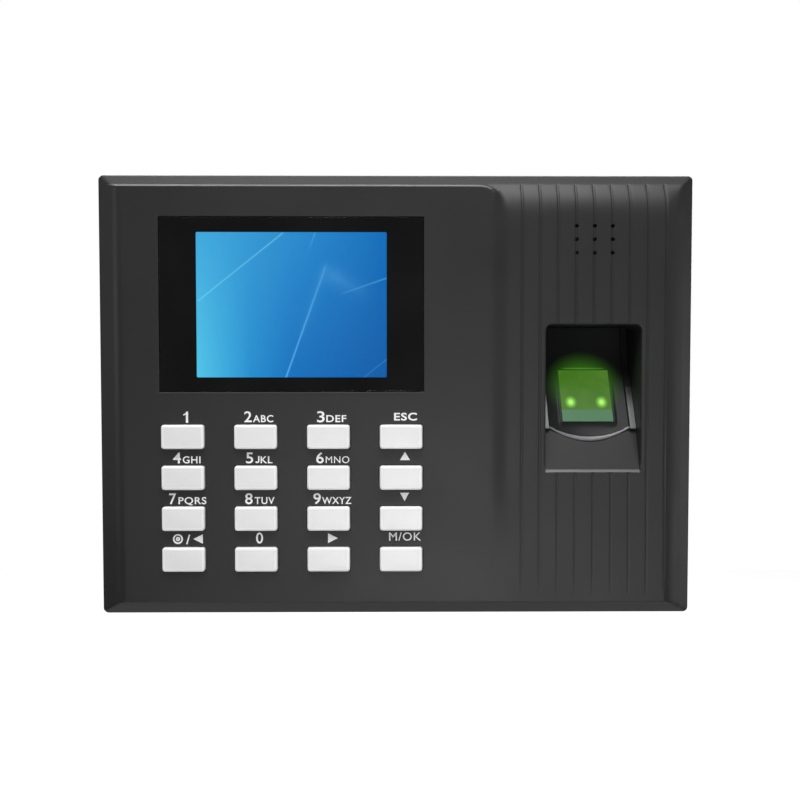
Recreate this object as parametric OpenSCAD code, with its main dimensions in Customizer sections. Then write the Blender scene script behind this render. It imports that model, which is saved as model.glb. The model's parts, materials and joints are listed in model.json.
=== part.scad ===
// Wall-mounted fingerprint terminal: two case halves with display, keypad, finger sensor,
// boards and connectors between them, hung on a sheet steel wall bracket.
//
// +X is to the right and +Z up as seen from the front, which faces -Y. The wall is the plane
// Y = 0, and depths in this file are distances out from the wall, so depth d is Y = -d.
// Units are millimetres.

/* [Case] */
// Width of the case
case_w = 181; // [180:0.5:183]
// Height of the case
case_h = 134.2; // [133.5:0.1:135]
// Depth of the flat front face
front_d = 36.5; // [36:0.1:38]
// Depth of the parting line between the case halves
split_d = 15; // [14:0.5:16]
// Thickness of the case walls
wall = 2.2; // [2:0.1:2.4]

/* [Display] */
// Width of the display window
window_w = 78.4; // [77:0.1:79]
// Height of the display window
window_h = 51.8; // [51:0.1:53]
// Centre of the display window across the case
window_x = -31.2; // [-32:0.1:-30.5]
// Centre of the lit part across the case
lit_x = -31.7; // [-31.9:0.1:-31.2]
// Centre of the display window above the middle of the case
window_z = 27.4; // [27:0.1:27.8]
// Width of the lit part of the display
lit_w = 57.6; // [57:0.1:58]
// Height of the lit part of the display
lit_h = 43.2; // [42.5:0.1:43.5]

/* [Keys] */
// Width of one key
key_w = 12.7; // [12:0.1:12.9]
// Height of one key
key_h = 7.2; // [6.8:0.1:7.3]
// How far a key stands out of the front face
key_proud = 1.5; // [1.2:0.1:1.8]
// How far a key travels when it is pressed
key_travel = 1.0; // [0.6:0.1:1.1]
// Distance between key columns
key_pitch_x = 21.66; // [21.2:0.02:21.9]
// Distance between key rows
key_pitch_z = 12.25; // [12:0.05:12.4]
// Centre of the first key across the case
key_x = -63.6; // [-63.8:0.1:-63.4]
// Centre of the first key row above the middle of the case
key_z = -11.9; // [-12.1:0.1:-11.7]

/* [Finger sensor] */
// Centre of the finger well across the case
sensor_x = 59.1; // [58.5:0.1:59.5]
// Width of the finger well
well_w = 28.6; // [28:0.1:29]
// Upper edge of the finger well
well_top = 21.6; // [21:0.1:22]
// Lower edge of the finger well
well_bottom = -21.8; // [-22:0.1:-21.4]
// Slope of the finger trough away from the front face
sensor_tilt = 30; // [29:0.5:31]
// Width of the sensor glass
prism_w = 15.6; // [15:0.1:16]
// Length of the sensor glass up the slope
prism_l = 18; // [17:0.1:18.2]

/* [Wall bracket] */
// Thickness of the bracket's sheet steel
sheet = 1.2; // [1:0.1:1.3]
// Distance between the wall screw holes across
wall_hole_x = 120; // [118:1:122]
// Distance between the wall screw holes up and down
wall_hole_z = 70; // [68:1:72]
// Radius of the wall screw holes
wall_hole_r = 2.25; // [2:0.05:2.5]
// How far the terminal lifts to come off the bracket's hooks
lift = 7; // [6.5:0.1:7.2]

/* [Hidden] */
// Every node draws alone when its name is in node

// Key names in reading order, four to a row
KEYS = [
    "key_1", "key_2", "key_3", "key_esc",
    "key_4", "key_5", "key_6", "key_up",
    "key_7", "key_8", "key_9", "key_down",
    "key_left", "key_0", "key_right", "key_ok"
];
key_columns = 4;
key_rows = 4;

$fn = 48;
eps = 0.01;         // keeps cuts clear of the faces they pass through
slack = 0.15;       // gap between pieces that slide together at assembly
hidden_fn = 32;     // facets of small round pieces inside the case

// Case section: the front face, its chamfers and the ribbed zone on the right
shoulder_d = front_d - 8;          // where the straight sides end
ledge_d = front_d - 4;             // where the rim under the front face ends
rib_d = front_d - 0.8;             // the ribbed zone lies a little lower than the front face
rib_x = 33.9;                      // left edge of the ribbed zone
plateau_top = 62.3;                // upper edge of the flat front face
plateau_corner_r = 9;              // and its rounded corner beside the ribbed zone
inner_d = front_d - 2.6;           // inside of the front wall
side_chamfer = 7.3;
roll_top = 63.7;                    // the ribbed zone rolls back from here up to the rim
roll_l = 12;
roll_drop = rib_d - ledge_d;
groove_pitch = 5.38;
groove_w = 0.6;
groove_depth = 0.35;
groove_each_side = 4;
corner_r = 1.5;

// Speaker holes lie on the three middle grooves
hole_r = 0.6;
hole_pitch_z = 4;
speaker_z = 46.9;

// Rear cover
back_d = 1.6;                      // its flat back stands this far off the wall
rim_d = 0.4;                       // its rim reaches closer to the wall
rear_inset = 0.6;                  // it is this much smaller than the front cover all round
rear_wall = 2.8;
inner_back_d = back_d + wall;
lip_h = 2.2;                       // tongue that locates the front cover
label_pos = [-9, 20];
label_w = 44;
label_h = 24;

// Case screws, driven from the back into bosses on the front cover
SCREWS = [[-80, 57], [-80, -57], [20, 57], [20, -57], [80, 57], [80, -57]];
boss_r = 3.5;
post_r = 4.2;
screw_r = 1.45;
screw_bore_r = 1.5;
screw_head_r = 2.8;
screw_head_h = 2.2;
head_seat_d = 5;

// Display stack
seat_d = front_d - 2;              // ledge that the window is stuck to
pad_d = front_d - 4;               // back of that ledge
adhesive_h = 0.15;
window_h_thick = 1.5;
lcd_w = 69;
lcd_h = 50;
lcd_front_d = pad_d - 0.1;
lcd_back_d = lcd_front_d - 2.6;

// Keypad stack
flange_d = inner_d - 0.1;          // front of the flange that keeps a key in
flange_h = 0.9;
flange_out = 0.6;
key_gap = 0.2;
mat_top_d = flange_d - flange_h;   // a dome's top touches its key
mat_front_d = 31.2;
mat_back_d = 30.2;
keypad_back_d = 28.6;
KEYPAD_POSTS = [[-73.5, -10], [-73.5, -53.5], [11.6, -10], [11.6, -53.5]];
keypad_post_r = 2.3;
keypad_screw_r = 0.9;

// Main board
board_front_d = 27;
board_back_d = 25.4;
BOARD_POSTS = [[-79.5, 44], [26, 46], [26, -48], [-79.5, -44]];
board_post_r = 2.8;
board_screw_r = 1.1;

// Cable bay: a pocket in the rear cover that the connectors open into
bay_x0 = -51;
bay_x1 = 15;
bay_z0 = -34;
bay_z1 = -2;
bay_wall = 1.6;
bay_floor_d = 23.2;
jack_x = -38;                      // network jack
jack_w = 16;
jack_l = 21;
jack_h = 13.5;
dc_x = -15.5;                      // power jack
dc_w = 9;
dc_l = 14;
dc_h = 11;
dc_bore_r = 3.1;
dc_bore_l = 9.5;
dc_pin_r = 1;
header_x = 4;                      // wiring header
header_w = 18;
header_l = 10;
header_h = 7;
header_pins_n = 6;
pin_pitch = 2.54;

// USB socket in the left side
usb_z = -10;
usb_w = 13.1;
usb_h = 5.7;
usb_l = 14;
usb_x = -case_w/2 + 1.6;           // its mouth
usb_skin = 0.4;

// Finger sensor: local frame with z up the slope and -y out of the glass
lip_z = -12.9;                     // lower lip of the trough
lip_d = front_d - 5.5;
prism_z = -0.05;                   // centre of the glass
prism_d = lip_d - tan(sensor_tilt)*(prism_z - lip_z);
well_wall = 1.6;
bezel_t = 2;
stop_z = 11.5;                      // the trough turns up into the fingertip stop here
rail_w = 1.5;

// Hooks of the wall bracket
HOOKS = [[-40, 34], [40, 34], [-40, -46], [40, -46]];
hook_w = 12;
hook_h = 6;
tab_z = -62.2;                     // top of the locking tab under the case
tab_w = 20;
tab_l = 13;
lock_d = 8;                        // depth of the locking screw
lock_r = 1.5;

// Tamper and reset switches on the back of the main board
tamper_pos = [20, 20];
tamper_r = 1.7;
tamper_travel = 1.2;
reset_pos = [-70, 20];
reset_r = 1.5;
reset_travel = 0.3;
switch_w = 6;
switch_h = 3.6;

// ---------- helpers ----------

// Extrudes a front-view outline between two depths
module slab(from, to) {
    translate([0, -from, 0]) rotate([90, 0, 0]) linear_extrude(to - from) children();
}

// Box between two front-view corners and two depths
module block(a, b, from, to) {
    translate([a[0], -to, a[1]]) cube([b[0] - a[0], to - from, b[1] - a[1]]);
}

// Round bar along the depth at a front-view point
module rod(p, r, from, to, fn = $fn) {
    translate([p[0], -from, p[1]]) rotate([90, 0, 0]) cylinder(h = to - from, r = r, $fn = fn);
}

// Rectangle with round corners, centred
module rounded(w, h, r) {
    square([w - 2*r, h], center = true);
    square([w, h - 2*r], center = true);
    for (sx = [-1, 1], sz = [-1, 1])
        translate([sx*(w/2 - r), sz*(h/2 - r)]) circle(r);
}

// Upright slot with round ends between two heights
module upright_slot(x, z0, z1, r) {
    translate([x - r, z0]) square([2*r, z1 - z0]);
    for (z = [z0, z1]) translate([x, z]) circle(r);
}

// Section given as [height, depth] points, extruded across from x0 to x1
module across(points, x0, x1) {
    translate([x0, 0, 0]) rotate([90, 0, 90]) linear_extrude(x1 - x0)
        polygon([for (p = points) [-p[1], p[0]]]);
}

// Section given as [x, depth] points, extruded upwards from z0 to z1
module upright(points, z0, z1) {
    translate([0, 0, z0]) linear_extrude(z1 - z0) polygon([for (p = points) [p[0], -p[1]]]);
}

// Frame of the finger sensor
module on_slope() {
    translate([sensor_x, -prism_d, prism_z]) rotate([-sensor_tilt, 0, 0]) children();
}

function key_at(i) = [key_x + key_pitch_x*(i % key_columns),
                      key_z - key_pitch_z*floor(i/key_columns)];

// Front surface of the ribbed zone where it rolls back to the rim
function roll_d(z) = rib_d - roll_drop*pow(max(0, 1 - (roll_top - z)/roll_l), 3);

// ---------- case ----------

// Outer shape of the front cover, solid
module front_block() {
    far = 1;
    intersection() {
        slab(split_d, front_d) rounded(case_w, case_h, corner_r);
        upright([
            [-case_w/2 - far, split_d - far], [-case_w/2 - far, shoulder_d],
            [-case_w/2, shoulder_d], [-case_w/2 + side_chamfer, front_d + eps],
            [80, front_d + eps], [86.2, front_d - 3.6],
            [case_w/2, shoulder_d], [case_w/2 + far, shoulder_d],
            [case_w/2 + far, split_d - far]
        ], -case_h, case_h);
        across([
            [-case_h/2 - far, split_d - far], [-case_h/2 - far, shoulder_d],
            [-case_h/2, shoulder_d], [-62.2, front_d + eps],
            [plateau_top, front_d + eps], [roll_top, ledge_d],
            [case_h/2, shoulder_d], [case_h/2 + far, shoulder_d],
            [case_h/2 + far, split_d - far]
        ], -case_w, case_w);
    }
}

// What the ribbed zone takes off the front block
module rib_zone_cut() {
    roll_points = 8;
    far = 150;
    difference() {
        across(concat(
            [[case_h, front_d + 2], [case_h, ledge_d], [roll_top, ledge_d]],
            [for (i = [1:roll_points]) let (z = roll_top - roll_l*i/roll_points) [z, roll_d(z)]],
            [[-20, rib_d], [-50, front_d + eps], [-50, front_d + 2]]
        ), rib_x - plateau_corner_r, case_w);
        slab(0, front_d + 3) translate([(rib_x - far)/2, (plateau_top - far)/2])
            rounded(rib_x + far, plateau_top + far, plateau_corner_r);
    }
    for (i = [-groove_each_side:groove_each_side])
        translate([sensor_x + i*groove_pitch - groove_w/2, 0, 0])
            across([[roll_top, rib_d - groove_depth], [-58, rib_d - groove_depth],
                    [-58, front_d + 1], [roll_top, front_d + 1]], 0, groove_w);
}

// Hollow of the front cover: deep in the middle, shallower under the chamfers
module front_hollow() {
    slab(split_d - 1, shoulder_d - 1)
        rounded(case_w - 2*wall, case_h - 2*wall, corner_r);
    block([-80, -60], [77, 57], split_d - 1, inner_d);
}

// Tube around the finger well, with the ramp at its foot
module well_tube() {
    half = well_w/2;
    side = [
        [well_bottom - well_wall, inner_d + 1], [well_top + well_wall, inner_d + 1],
        [well_top + well_wall, 16.5], [stop_z, 16.5], [lip_z, lip_d - 1],
        [well_bottom - well_wall, lip_d - 1]
    ];
    for (x = [sensor_x - half - well_wall, sensor_x + half]) across(side, x, x + well_wall);
    block([sensor_x - half - well_wall, well_top],
          [sensor_x + half + well_wall, well_top + well_wall], lip_d - 6.2, inner_d + 1);
    across([
        [well_bottom - well_wall, inner_d + 1], [well_bottom, inner_d + 1],
        [well_bottom, rib_d - 0.8], [lip_z - slack, lip_d + 0.2],
        [lip_z - slack, lip_d - 1.8], [well_bottom - well_wall, lip_d - 1]
    ], sensor_x - half - eps, sensor_x + half + eps);
}

module front_cover() {
    color([0.14, 0.14, 0.15]) difference() {
        union() {
            difference() {
                front_block();
                front_hollow();
            }
            slab(pad_d, inner_d + eps) translate([window_x, window_z])
                square([window_w + 3.4, window_h + 3.4], center = true);
            well_tube();
            for (p = SCREWS) rod(p, boss_r, split_d, shoulder_d + 1);
            for (p = KEYPAD_POSTS) rod(p, keypad_post_r, mat_back_d, inner_d + eps);
            for (p = BOARD_POSTS) rod(p, board_post_r, board_front_d, inner_d + eps);
            slab(inner_d - 2.5, inner_d + eps) translate([sensor_x, speaker_z]) difference() {
                circle(11.6);
                circle(10.4);
            }
        }
        rib_zone_cut();
        // display window seat and opening
        slab(seat_d, front_d + 1) translate([window_x, window_z])
            rounded(window_w + 2*slack, window_h + 2*slack, 0.6);
        slab(pad_d - 1, front_d) translate([lit_x, window_z])
            rounded(lit_w + 2.8, lit_h + 2.8, 1);
        // key openings
        for (i = [0:len(KEYS) - 1])
            slab(inner_d - 1, front_d + 1) translate(key_at(i))
                rounded(key_w + 2*key_gap, key_h + 2*key_gap, 1);
        // finger well
        block([sensor_x - well_w/2, well_bottom], [sensor_x + well_w/2, well_top],
              rib_d - 0.8, front_d + 1);
        block([sensor_x - well_w/2, lip_z], [sensor_x + well_w/2, well_top],
              lip_d - 8, front_d);
        across([
            [well_bottom, front_d], [well_bottom, rib_d - 0.8], [lip_z - slack, lip_d + 0.2],
            [lip_z - slack, lip_d - 3], [lip_z + 1, lip_d - 3], [lip_z + 1, front_d]
        ], sensor_x - well_w/2, sensor_x + well_w/2);
        // speaker holes
        for (i = [-1:1], j = [-1:1])
            rod([sensor_x + i*groove_pitch, speaker_z + j*hole_pitch_z], hole_r,
                inner_d - 1, front_d + 1, hidden_fn);
        // screw pilots
        for (p = SCREWS) rod(p, screw_bore_r, split_d - 1, split_d + 10);
        for (p = KEYPAD_POSTS) rod(p, keypad_screw_r + 0.05, mat_back_d - 1, inner_d + 0.6);
        for (p = BOARD_POSTS) rod(p, board_screw_r + 0.05, board_front_d - 1, board_front_d + 5.5);
        // USB opening in the left side
        translate([-case_w/2 - 1, -board_back_d - 0.4, usb_z - usb_w/2 - 0.35])
            cube([wall + 2, usb_h + 0.7, usb_w + 0.7]);
    }
}

// Pocket that wall screw heads run in while the terminal lifts
module head_pocket(p, r, from, to) {
    slab(from, to) upright_slot(p[0], p[1] - lift, p[1], r);
}

WALL_HOLES = [for (sx = [-1, 1], sz = [-1, 1]) [sx*wall_hole_x/2, sz*wall_hole_z/2]];

// Openings in the bay's upper wall that the connectors look out of
module connector_openings() {
    play = 0.2;
    for (c = [[jack_x, jack_w, jack_h], [dc_x, dc_w, dc_h], [header_x, header_w, header_h]])
        block([c[0] - c[1]/2 - play, bay_z1 - 1], [c[0] + c[1]/2 + play, bay_z1 + bay_wall + 1],
              board_back_d - c[2] - play, board_back_d + 1);
}

module rear_cover() {
    w = case_w - 2*rear_inset;
    h = case_h - 2*rear_inset;
    color([0.12, 0.12, 0.13]) difference() {
        union() {
            // shell with a rim at its sides and top
            difference() {
                slab(rim_d, split_d) rounded(w, h, corner_r);
                slab(inner_back_d, split_d + 1)
                    rounded(w - 2*rear_wall, h - 2*rear_wall, corner_r);
                block([-w/2 + 3, -h], [w/2 - 3, h/2 - 3], rim_d - 1, back_d);
            }
            // tongue inside the front cover
            slab(split_d - 1, split_d + lip_h) difference() {
                rounded(case_w - 2*wall - 2*slack, case_h - 2*wall - 2*slack, corner_r);
                rounded(w - 2*rear_wall, h - 2*rear_wall, corner_r);
            }
            for (p = SCREWS) rod(p, post_r, inner_back_d - 1, split_d);
            // cable bay walls
            block([bay_x0 - bay_wall, bay_z0 - bay_wall], [bay_x1 + bay_wall, bay_z1 + bay_wall],
                  inner_back_d - 1, bay_floor_d + bay_wall);
            for (p = WALL_HOLES) head_pocket(p, 6 + wall, inner_back_d - 1, 7);
            // guide for the tamper plunger, boss for the locking screw
            rod(tamper_pos, tamper_r + 1.6, inner_back_d - 1, 9);
            block([-9, -case_h/2 + rear_inset], [9, tab_z + 7.6], inner_back_d - 1, split_d);
        }
        for (p = SCREWS) {
            rod(p, screw_head_r + 0.3, rim_d - 1, head_seat_d);
            rod(p, screw_bore_r + 0.1, head_seat_d - 1, split_d + 1);
        }
        block([bay_x0, bay_z0], [bay_x1, bay_z1], rim_d - 1, bay_floor_d);
        connector_openings();
        for (p = WALL_HOLES) head_pocket(p, 6, rim_d - 1, 5.4);
        // hook slots, tall enough to lift the terminal off
        for (p = HOOKS)
            block([p[0] - hook_w/2 - 0.5, p[1] - lift - sheet - 0.3],
                  [p[0] + hook_w/2 + 0.5, p[1] + 0.05], rim_d - 1, inner_back_d + 1);
        rod(tamper_pos, tamper_r + 0.15, rim_d - 1, 10);
        rod(reset_pos, 1.1, rim_d - 1, inner_back_d + 1);
        // recess for the locking tab, and the bore its screw threads into
        block([-tab_w/2 - 0.5, -case_h/2 - 1], [tab_w/2 + 0.5, tab_z + 0.3], rim_d - 1, tab_l + 0.5);
        block([-tab_w/2 - 0.5, -case_h/2 - 1], [tab_w/2 + 0.5, -48], rim_d - 1, back_d);
        translate([0, -lock_d, tab_z - 1]) cylinder(h = 8, r = lock_r + 0.1);
        // rating label recess
        slab(rim_d - 1, back_d + 0.3) translate(label_pos) rounded(label_w + 0.4, label_h + 0.4, 1);
        // cooling slots low on the back, outside the bracket
        for (i = [-2:2], x = [-58, 58])
            block([x + i*5 - 1.2, -60], [x + i*5 + 1.2, -53], rim_d - 1, inner_back_d + 1);
    }
}

module rating_label() {
    color([0.75, 0.75, 0.77]) slab(back_d + 0.05, back_d + 0.3 - eps)
        translate(label_pos) rounded(label_w, label_h, 1);
}

// Screw with a round head, driven along the depth with its head towards the wall
module screw(p, head_d, shank_r, head_r, head_h, length) {
    difference() {
        union() {
            rod(p, head_r, head_d - head_h, head_d, hidden_fn);
            rod(p, shank_r, head_d - eps, head_d + length, hidden_fn);
        }
        translate([p[0], 0, p[1]]) for (a = [0, 90]) rotate([0, a, 0])
            translate([-head_r*0.6, -head_d + head_h - 1, -0.3]) cube([head_r*1.2, 2, 0.6]);
    }
}

module case_screws() {
    color([0.55, 0.55, 0.57]) for (p = SCREWS)
        screw(p, head_seat_d, screw_r, screw_head_r, screw_head_h, 18);
}

// ---------- display ----------

module display_window() {
    color([0.03, 0.03, 0.035])
        slab(seat_d + adhesive_h, seat_d + adhesive_h + window_h_thick)
            translate([window_x, window_z]) rounded(window_w, window_h, 0.5);
}

module window_adhesive() {
    color([0.2, 0.2, 0.2]) slab(seat_d, seat_d + adhesive_h) translate([window_x, window_z])
        difference() {
            square([window_w - 1, window_h - 1], center = true);
            translate([lit_x - window_x, 0]) square([lit_w + 4, lit_h + 4], center = true);
        }
}

module lcd_frame() {
    color([0.7, 0.7, 0.72]) difference() {
        slab(lcd_back_d, lcd_front_d) translate([lit_x, window_z]) rounded(lcd_w, lcd_h, 0.8);
        slab(lcd_front_d - 1.4, lcd_front_d + 1) translate([lit_x, window_z])
            square([lit_w + 2.4, lit_h + 2.4], center = true);
    }
}

module lcd_panel() {
    color([0.15, 0.5, 0.85]) slab(lcd_front_d - 1.35, lcd_front_d - 0.05)
        translate([lit_x, window_z]) square([lit_w + 2, lit_h + 2], center = true);
}

module lcd_foam() {
    color([0.25, 0.25, 0.27]) slab(board_front_d, lcd_back_d) translate([lit_x, window_z])
        difference() {
            square([lcd_w - 10, lcd_h - 8], center = true);
            square([lcd_w - 24, lcd_h - 22], center = true);
        }
}

// Flat cable that folds round the display's right edge onto the main board
module lcd_flex() {
    edge = lit_x + lcd_w/2;
    t = 0.3;
    color([0.75, 0.45, 0.1]) difference() {
        upright([[edge + eps, 31], [edge + 3.4, 31], [edge + 3.4, board_front_d + 0.02],
                 [edge - 2, board_front_d + 0.02], [edge - 2, board_front_d + 0.02 + t],
                 [edge + 3.4 - t, board_front_d + 0.02 + t], [edge + 3.4 - t, 31 - t],
                 [edge + eps, 31 - t]], window_z - 9, window_z + 9);
    }
}

// ---------- keypad ----------

// A key: a hollow-free cap with a softened crown, and the flange that keeps it in
module key(i) {
    p = key_at(i);
    top_d = front_d + key_proud;
    crown = 0.35;
    color([0.86, 0.86, 0.87]) {
        slab(flange_d, top_d - crown) translate(p) rounded(key_w, key_h, 0.8);
        slab(top_d - crown - eps, top_d) translate(p)
            rounded(key_w - 2*crown, key_h - 2*crown, 0.6);
        slab(mat_top_d, flange_d + eps) translate(p)
            rounded(key_w + 2*flange_out, key_h + 2*flange_out, 1);
    }
}

// Silicone mat: a base sheet with a hollow dome under every key
module keypad_mat() {
    color([0.5, 0.5, 0.52]) difference() {
        union() {
            slab(mat_back_d, mat_front_d) translate([-31.1, -30.3]) rounded(79.6, 49, 2);
            for (i = [0:len(KEYS) - 1]) slab(mat_front_d - eps, mat_top_d)
                translate(key_at(i)) rounded(key_w - 2.4, key_h - 1.6, 1);
        }
        for (i = [0:len(KEYS) - 1]) slab(mat_back_d - 1, mat_top_d - 0.8)
            translate(key_at(i)) rounded(key_w - 4.4, key_h - 3.4, 0.8);
    }
}

module keypad_board() {
    color([0.1, 0.35, 0.16]) difference() {
        slab(keypad_back_d, mat_back_d) translate([-31, -30.7]) rounded(90, 51, 1);
        for (p = KEYPAD_POSTS) rod(p, keypad_screw_r + 0.2, keypad_back_d - 1, mat_back_d + 1);
    }
}

module keypad_screws() {
    color([0.6, 0.6, 0.62]) for (p = KEYPAD_POSTS)
        screw(p, keypad_back_d, keypad_screw_r, 1.9, 1.2, 5);
}

// Connector that joins the keypad board to the main board behind it
module keypad_connector() {
    color([0.9, 0.89, 0.84]) block([-60, -34], [-42, -29], board_front_d, keypad_back_d);
}

// ---------- finger sensor ----------

// Trough that guides the finger, with side rails and a stop for the fingertip
module sensor_bezel() {
    half = well_w/2 - slack;
    slope = tan(sensor_tilt);
    stop_d = lip_d - slope*(stop_z - lip_z);
    back_z = 11.6;
    top = well_top + well_wall;
    tube_d = lip_d - 6.2 - slack;
    back = [[top, tube_d], [top, 14.6], [back_z, 14.6],
            [lip_z, 14.6 + slope*(back_z - lip_z)]];
    floor_line = [[lip_z, lip_d], [stop_z, stop_d], [15.6, stop_d + 0.4], [19.4, stop_d + 3.2],
                  [well_top - slack, tube_d]];
    rail_line = [[lip_z, lip_d + 0.2], [lip_z + 0.6, lip_d + 1], [stop_z - 1, stop_d + 1.9],
                 [well_top - slack, tube_d]];
    color([0.1, 0.1, 0.11]) difference() {
        union() {
            across(concat(floor_line, back), sensor_x - half, sensor_x + half);
            for (x = [sensor_x - half, sensor_x + half - rail_w])
                across(concat(rail_line, back), x, x + rail_w);
        }
        on_slope() translate([-prism_w/2 - 0.1, -3, -prism_l/2 - 0.1])
            cube([prism_w + 0.2, 12, prism_l + 0.2]);
    }
}

// Glass that the finger rests on, with its facets cut away underneath
module sensor_prism() {
    color([0.25, 0.75, 0.2]) on_slope() translate([-prism_w/2, 0, 0]) rotate([90, 0, 90])
        linear_extrude(prism_w) polygon([
            [-0.1, -prism_l/2], [-0.1, prism_l/2], [2, prism_l/2],
            [9, 2], [9, -4], [4, -prism_l/2]
        ]);
}

module sensor_housing() {
    color([0.08, 0.08, 0.09]) on_slope() difference() {
        translate([-10.5, 2.2, -11]) cube([21, 11.8, 20.5]);
        translate([-prism_w/2 - 0.1, 2, -prism_l/2 - 0.1])
            cube([prism_w + 0.2, 7.2, prism_l + 0.2]);
        translate([-7, 9, -7]) cube([14, 6, 12]);
    }
}

module sensor_board() {
    color([0.08, 0.3, 0.14]) on_slope() translate([-12, 14.2, -12]) cube([24, 1.2, 21]);
}

// Lens barrel and its image chip, behind the prism
module sensor_lens() {
    color([0.12, 0.12, 0.13]) on_slope() translate([0, 14.2 - eps, -1]) rotate([90, 0, 0]) {
        cylinder(h = 1.2, r = 4.6, $fn = 4);
        cylinder(h = 4.4, r = 2.8, $fn = hidden_fn);
    }
}

// Lamps below the foot of the prism
module sensor_leds() {
    color([0.5, 0.95, 0.4]) on_slope() for (x = [-4.6, 4.6])
        translate([x - 1, 6.6, -8.8]) cube([2, 1.6, 1.4]);
}

// Flat cable from the sensor board to the main board
module sensor_cable() {
    z0 = -10;
    t = 0.4;
    color([0.85, 0.85, 0.83]) upright([
        [sensor_x - 12.05, 12], [39, 12], [33.6, 17], [30.8, board_back_d - 0.02],
        [25, board_back_d - 0.02], [25, board_back_d - 0.02 - t], [30.4, board_back_d - 0.02 - t],
        [33.2, 17 - t], [38.8, 12 - t], [sensor_x - 12.05, 12 - t]
    ], z0 - 4, z0 + 4);
}

// ---------- main board ----------

module main_board() {
    color([0.07, 0.32, 0.15]) difference() {
        slab(board_back_d, board_front_d) translate([-26.5, 0]) rounded(115, 104, 1);
        for (p = BOARD_POSTS) rod(p, board_screw_r + 0.2, board_back_d - 1, board_front_d + 1);
    }
}

module board_screws() {
    color([0.6, 0.6, 0.62]) for (p = BOARD_POSTS)
        screw(p, board_back_d, board_screw_r, 2.3, 1.8, 6);
}

// Chip body on the back of the main board: centre, size, height
module chip(p, w, h, t) {
    block([p[0] - w/2, p[1] - h/2], [p[0] + w/2, p[1] + h/2], board_back_d - t, board_back_d);
}

module board_chips() {
    color([0.06, 0.06, 0.07]) {
        chip([-52, 36], 16, 16, 1.6);
        chip([-28, 40], 12, 8, 1.1);
        chip([-28, 28], 12, 8, 1.1);
        chip([-8, 44], 10, 6, 1.2);
        chip([-66, -44], 8, 8, 1.2);
        chip([-46, -44], 10, 7, 1.2);
        chip([-20, -44], 7, 5, 1.5);
        chip([6, -44], 7, 5, 1.5);
        chip([23, -24], 6, 9, 1.1);
    }
}

module board_capacitors() {
    color([0.7, 0.7, 0.72]) for (p = [[-64, 8], [-64, -6], [24, 6], [-34, -44]])
        rod(p, 3.15, board_back_d - 7.7, board_back_d, hidden_fn);
}

module coin_cell() {
    color([0.8, 0.8, 0.78]) rod([4, 32], 10, board_back_d - 4.2, board_back_d - 1.0);
}

module coin_cell_holder() {
    color([0.1, 0.1, 0.1]) difference() {
        rod([4, 32], 11.4, board_back_d - 3.4, board_back_d);
        rod([4, 32], 10.05, board_back_d - 5, board_back_d - 1.0);
    }
}

// Network jack: a block with its socket opening down into the bay
module ethernet_jack() {
    mid_d = board_back_d - jack_h/2;
    color([0.65, 0.65, 0.67]) difference() {
        block([jack_x - jack_w/2, bay_z1], [jack_x + jack_w/2, bay_z1 + jack_l],
              board_back_d - jack_h, board_back_d);
        block([jack_x - 5.95, bay_z1 - 1], [jack_x + 5.95, bay_z1 + 13], mid_d - 3.4, mid_d + 4.2);
        block([jack_x - 3.1, bay_z1 - 1], [jack_x + 3.1, bay_z1 + 8], mid_d - 5, mid_d);
    }
}

module ethernet_contacts() {
    mid_d = board_back_d - jack_h/2;
    color([0.85, 0.65, 0.25]) for (i = [0:7])
        block([jack_x - 3.77 + i*1.02, bay_z1 + 5], [jack_x - 3.37 + i*1.02, bay_z1 + 13],
              mid_d + 3.2, mid_d + 3.6);
}

module dc_jack() {
    color([0.08, 0.08, 0.08]) difference() {
        block([dc_x - dc_w/2, bay_z1], [dc_x + dc_w/2, bay_z1 + dc_l],
              board_back_d - dc_h, board_back_d);
        translate([dc_x, -board_back_d + dc_h/2, bay_z1 - 1])
            cylinder(h = dc_bore_l + 1, r = dc_bore_r);
    }
}

module dc_jack_pin() {
    color([0.8, 0.8, 0.8]) translate([dc_x, -board_back_d + dc_h/2, bay_z1 + 1])
        cylinder(h = dc_bore_l - 1, r = dc_pin_r, $fn = hidden_fn);
}

// USB socket: a folded steel shell on the back of the board, opening to the left
module usb_shell() {
    color([0.75, 0.75, 0.77]) difference() {
        translate([usb_x, -board_back_d, usb_z - usb_w/2]) cube([usb_l, usb_h, usb_w]);
        translate([usb_x - 1, -board_back_d + usb_skin, usb_z - usb_w/2 + usb_skin])
            cube([usb_l + 1 - usb_skin, usb_h - 2*usb_skin, usb_w - 2*usb_skin]);
    }
}

module usb_tongue() {
    reach = 9.5;
    base = 3.2;
    x1 = usb_x + usb_l - usb_skin - 0.05;
    color([0.9, 0.9, 0.9]) {
        translate([x1 - base, -board_back_d + usb_skin + 0.05, usb_z - usb_w/2 + usb_skin + 0.05])
            cube([base, usb_h - 2*usb_skin - 0.1, usb_w - 2*usb_skin - 0.1]);
        translate([x1 - base - reach, -board_back_d + 0.9, usb_z - 5.55])
            cube([reach + eps, 1.8, 11.1]);
    }
}

// Shrouded header for relay and sensor wires
module wiring_header() {
    color([0.9, 0.89, 0.84]) difference() {
        block([header_x - header_w/2, bay_z1], [header_x + header_w/2, bay_z1 + header_l],
              board_back_d - header_h, board_back_d);
        block([header_x - header_w/2 + 0.9, bay_z1 - 1],
              [header_x + header_w/2 - 0.9, bay_z1 + header_l - 2],
              board_back_d - header_h + 0.9, board_back_d - 0.9);
    }
}

module header_pins() {
    color([0.85, 0.7, 0.35]) for (i = [0:header_pins_n - 1])
        translate([header_x + (i - (header_pins_n - 1)/2)*pin_pitch - 0.32,
                   -board_back_d + header_h/2 - 0.32, bay_z1 + 1.5])
            cube([0.64, 0.64, header_l - 3.5]);
}

// ---------- speaker ----------

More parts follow.
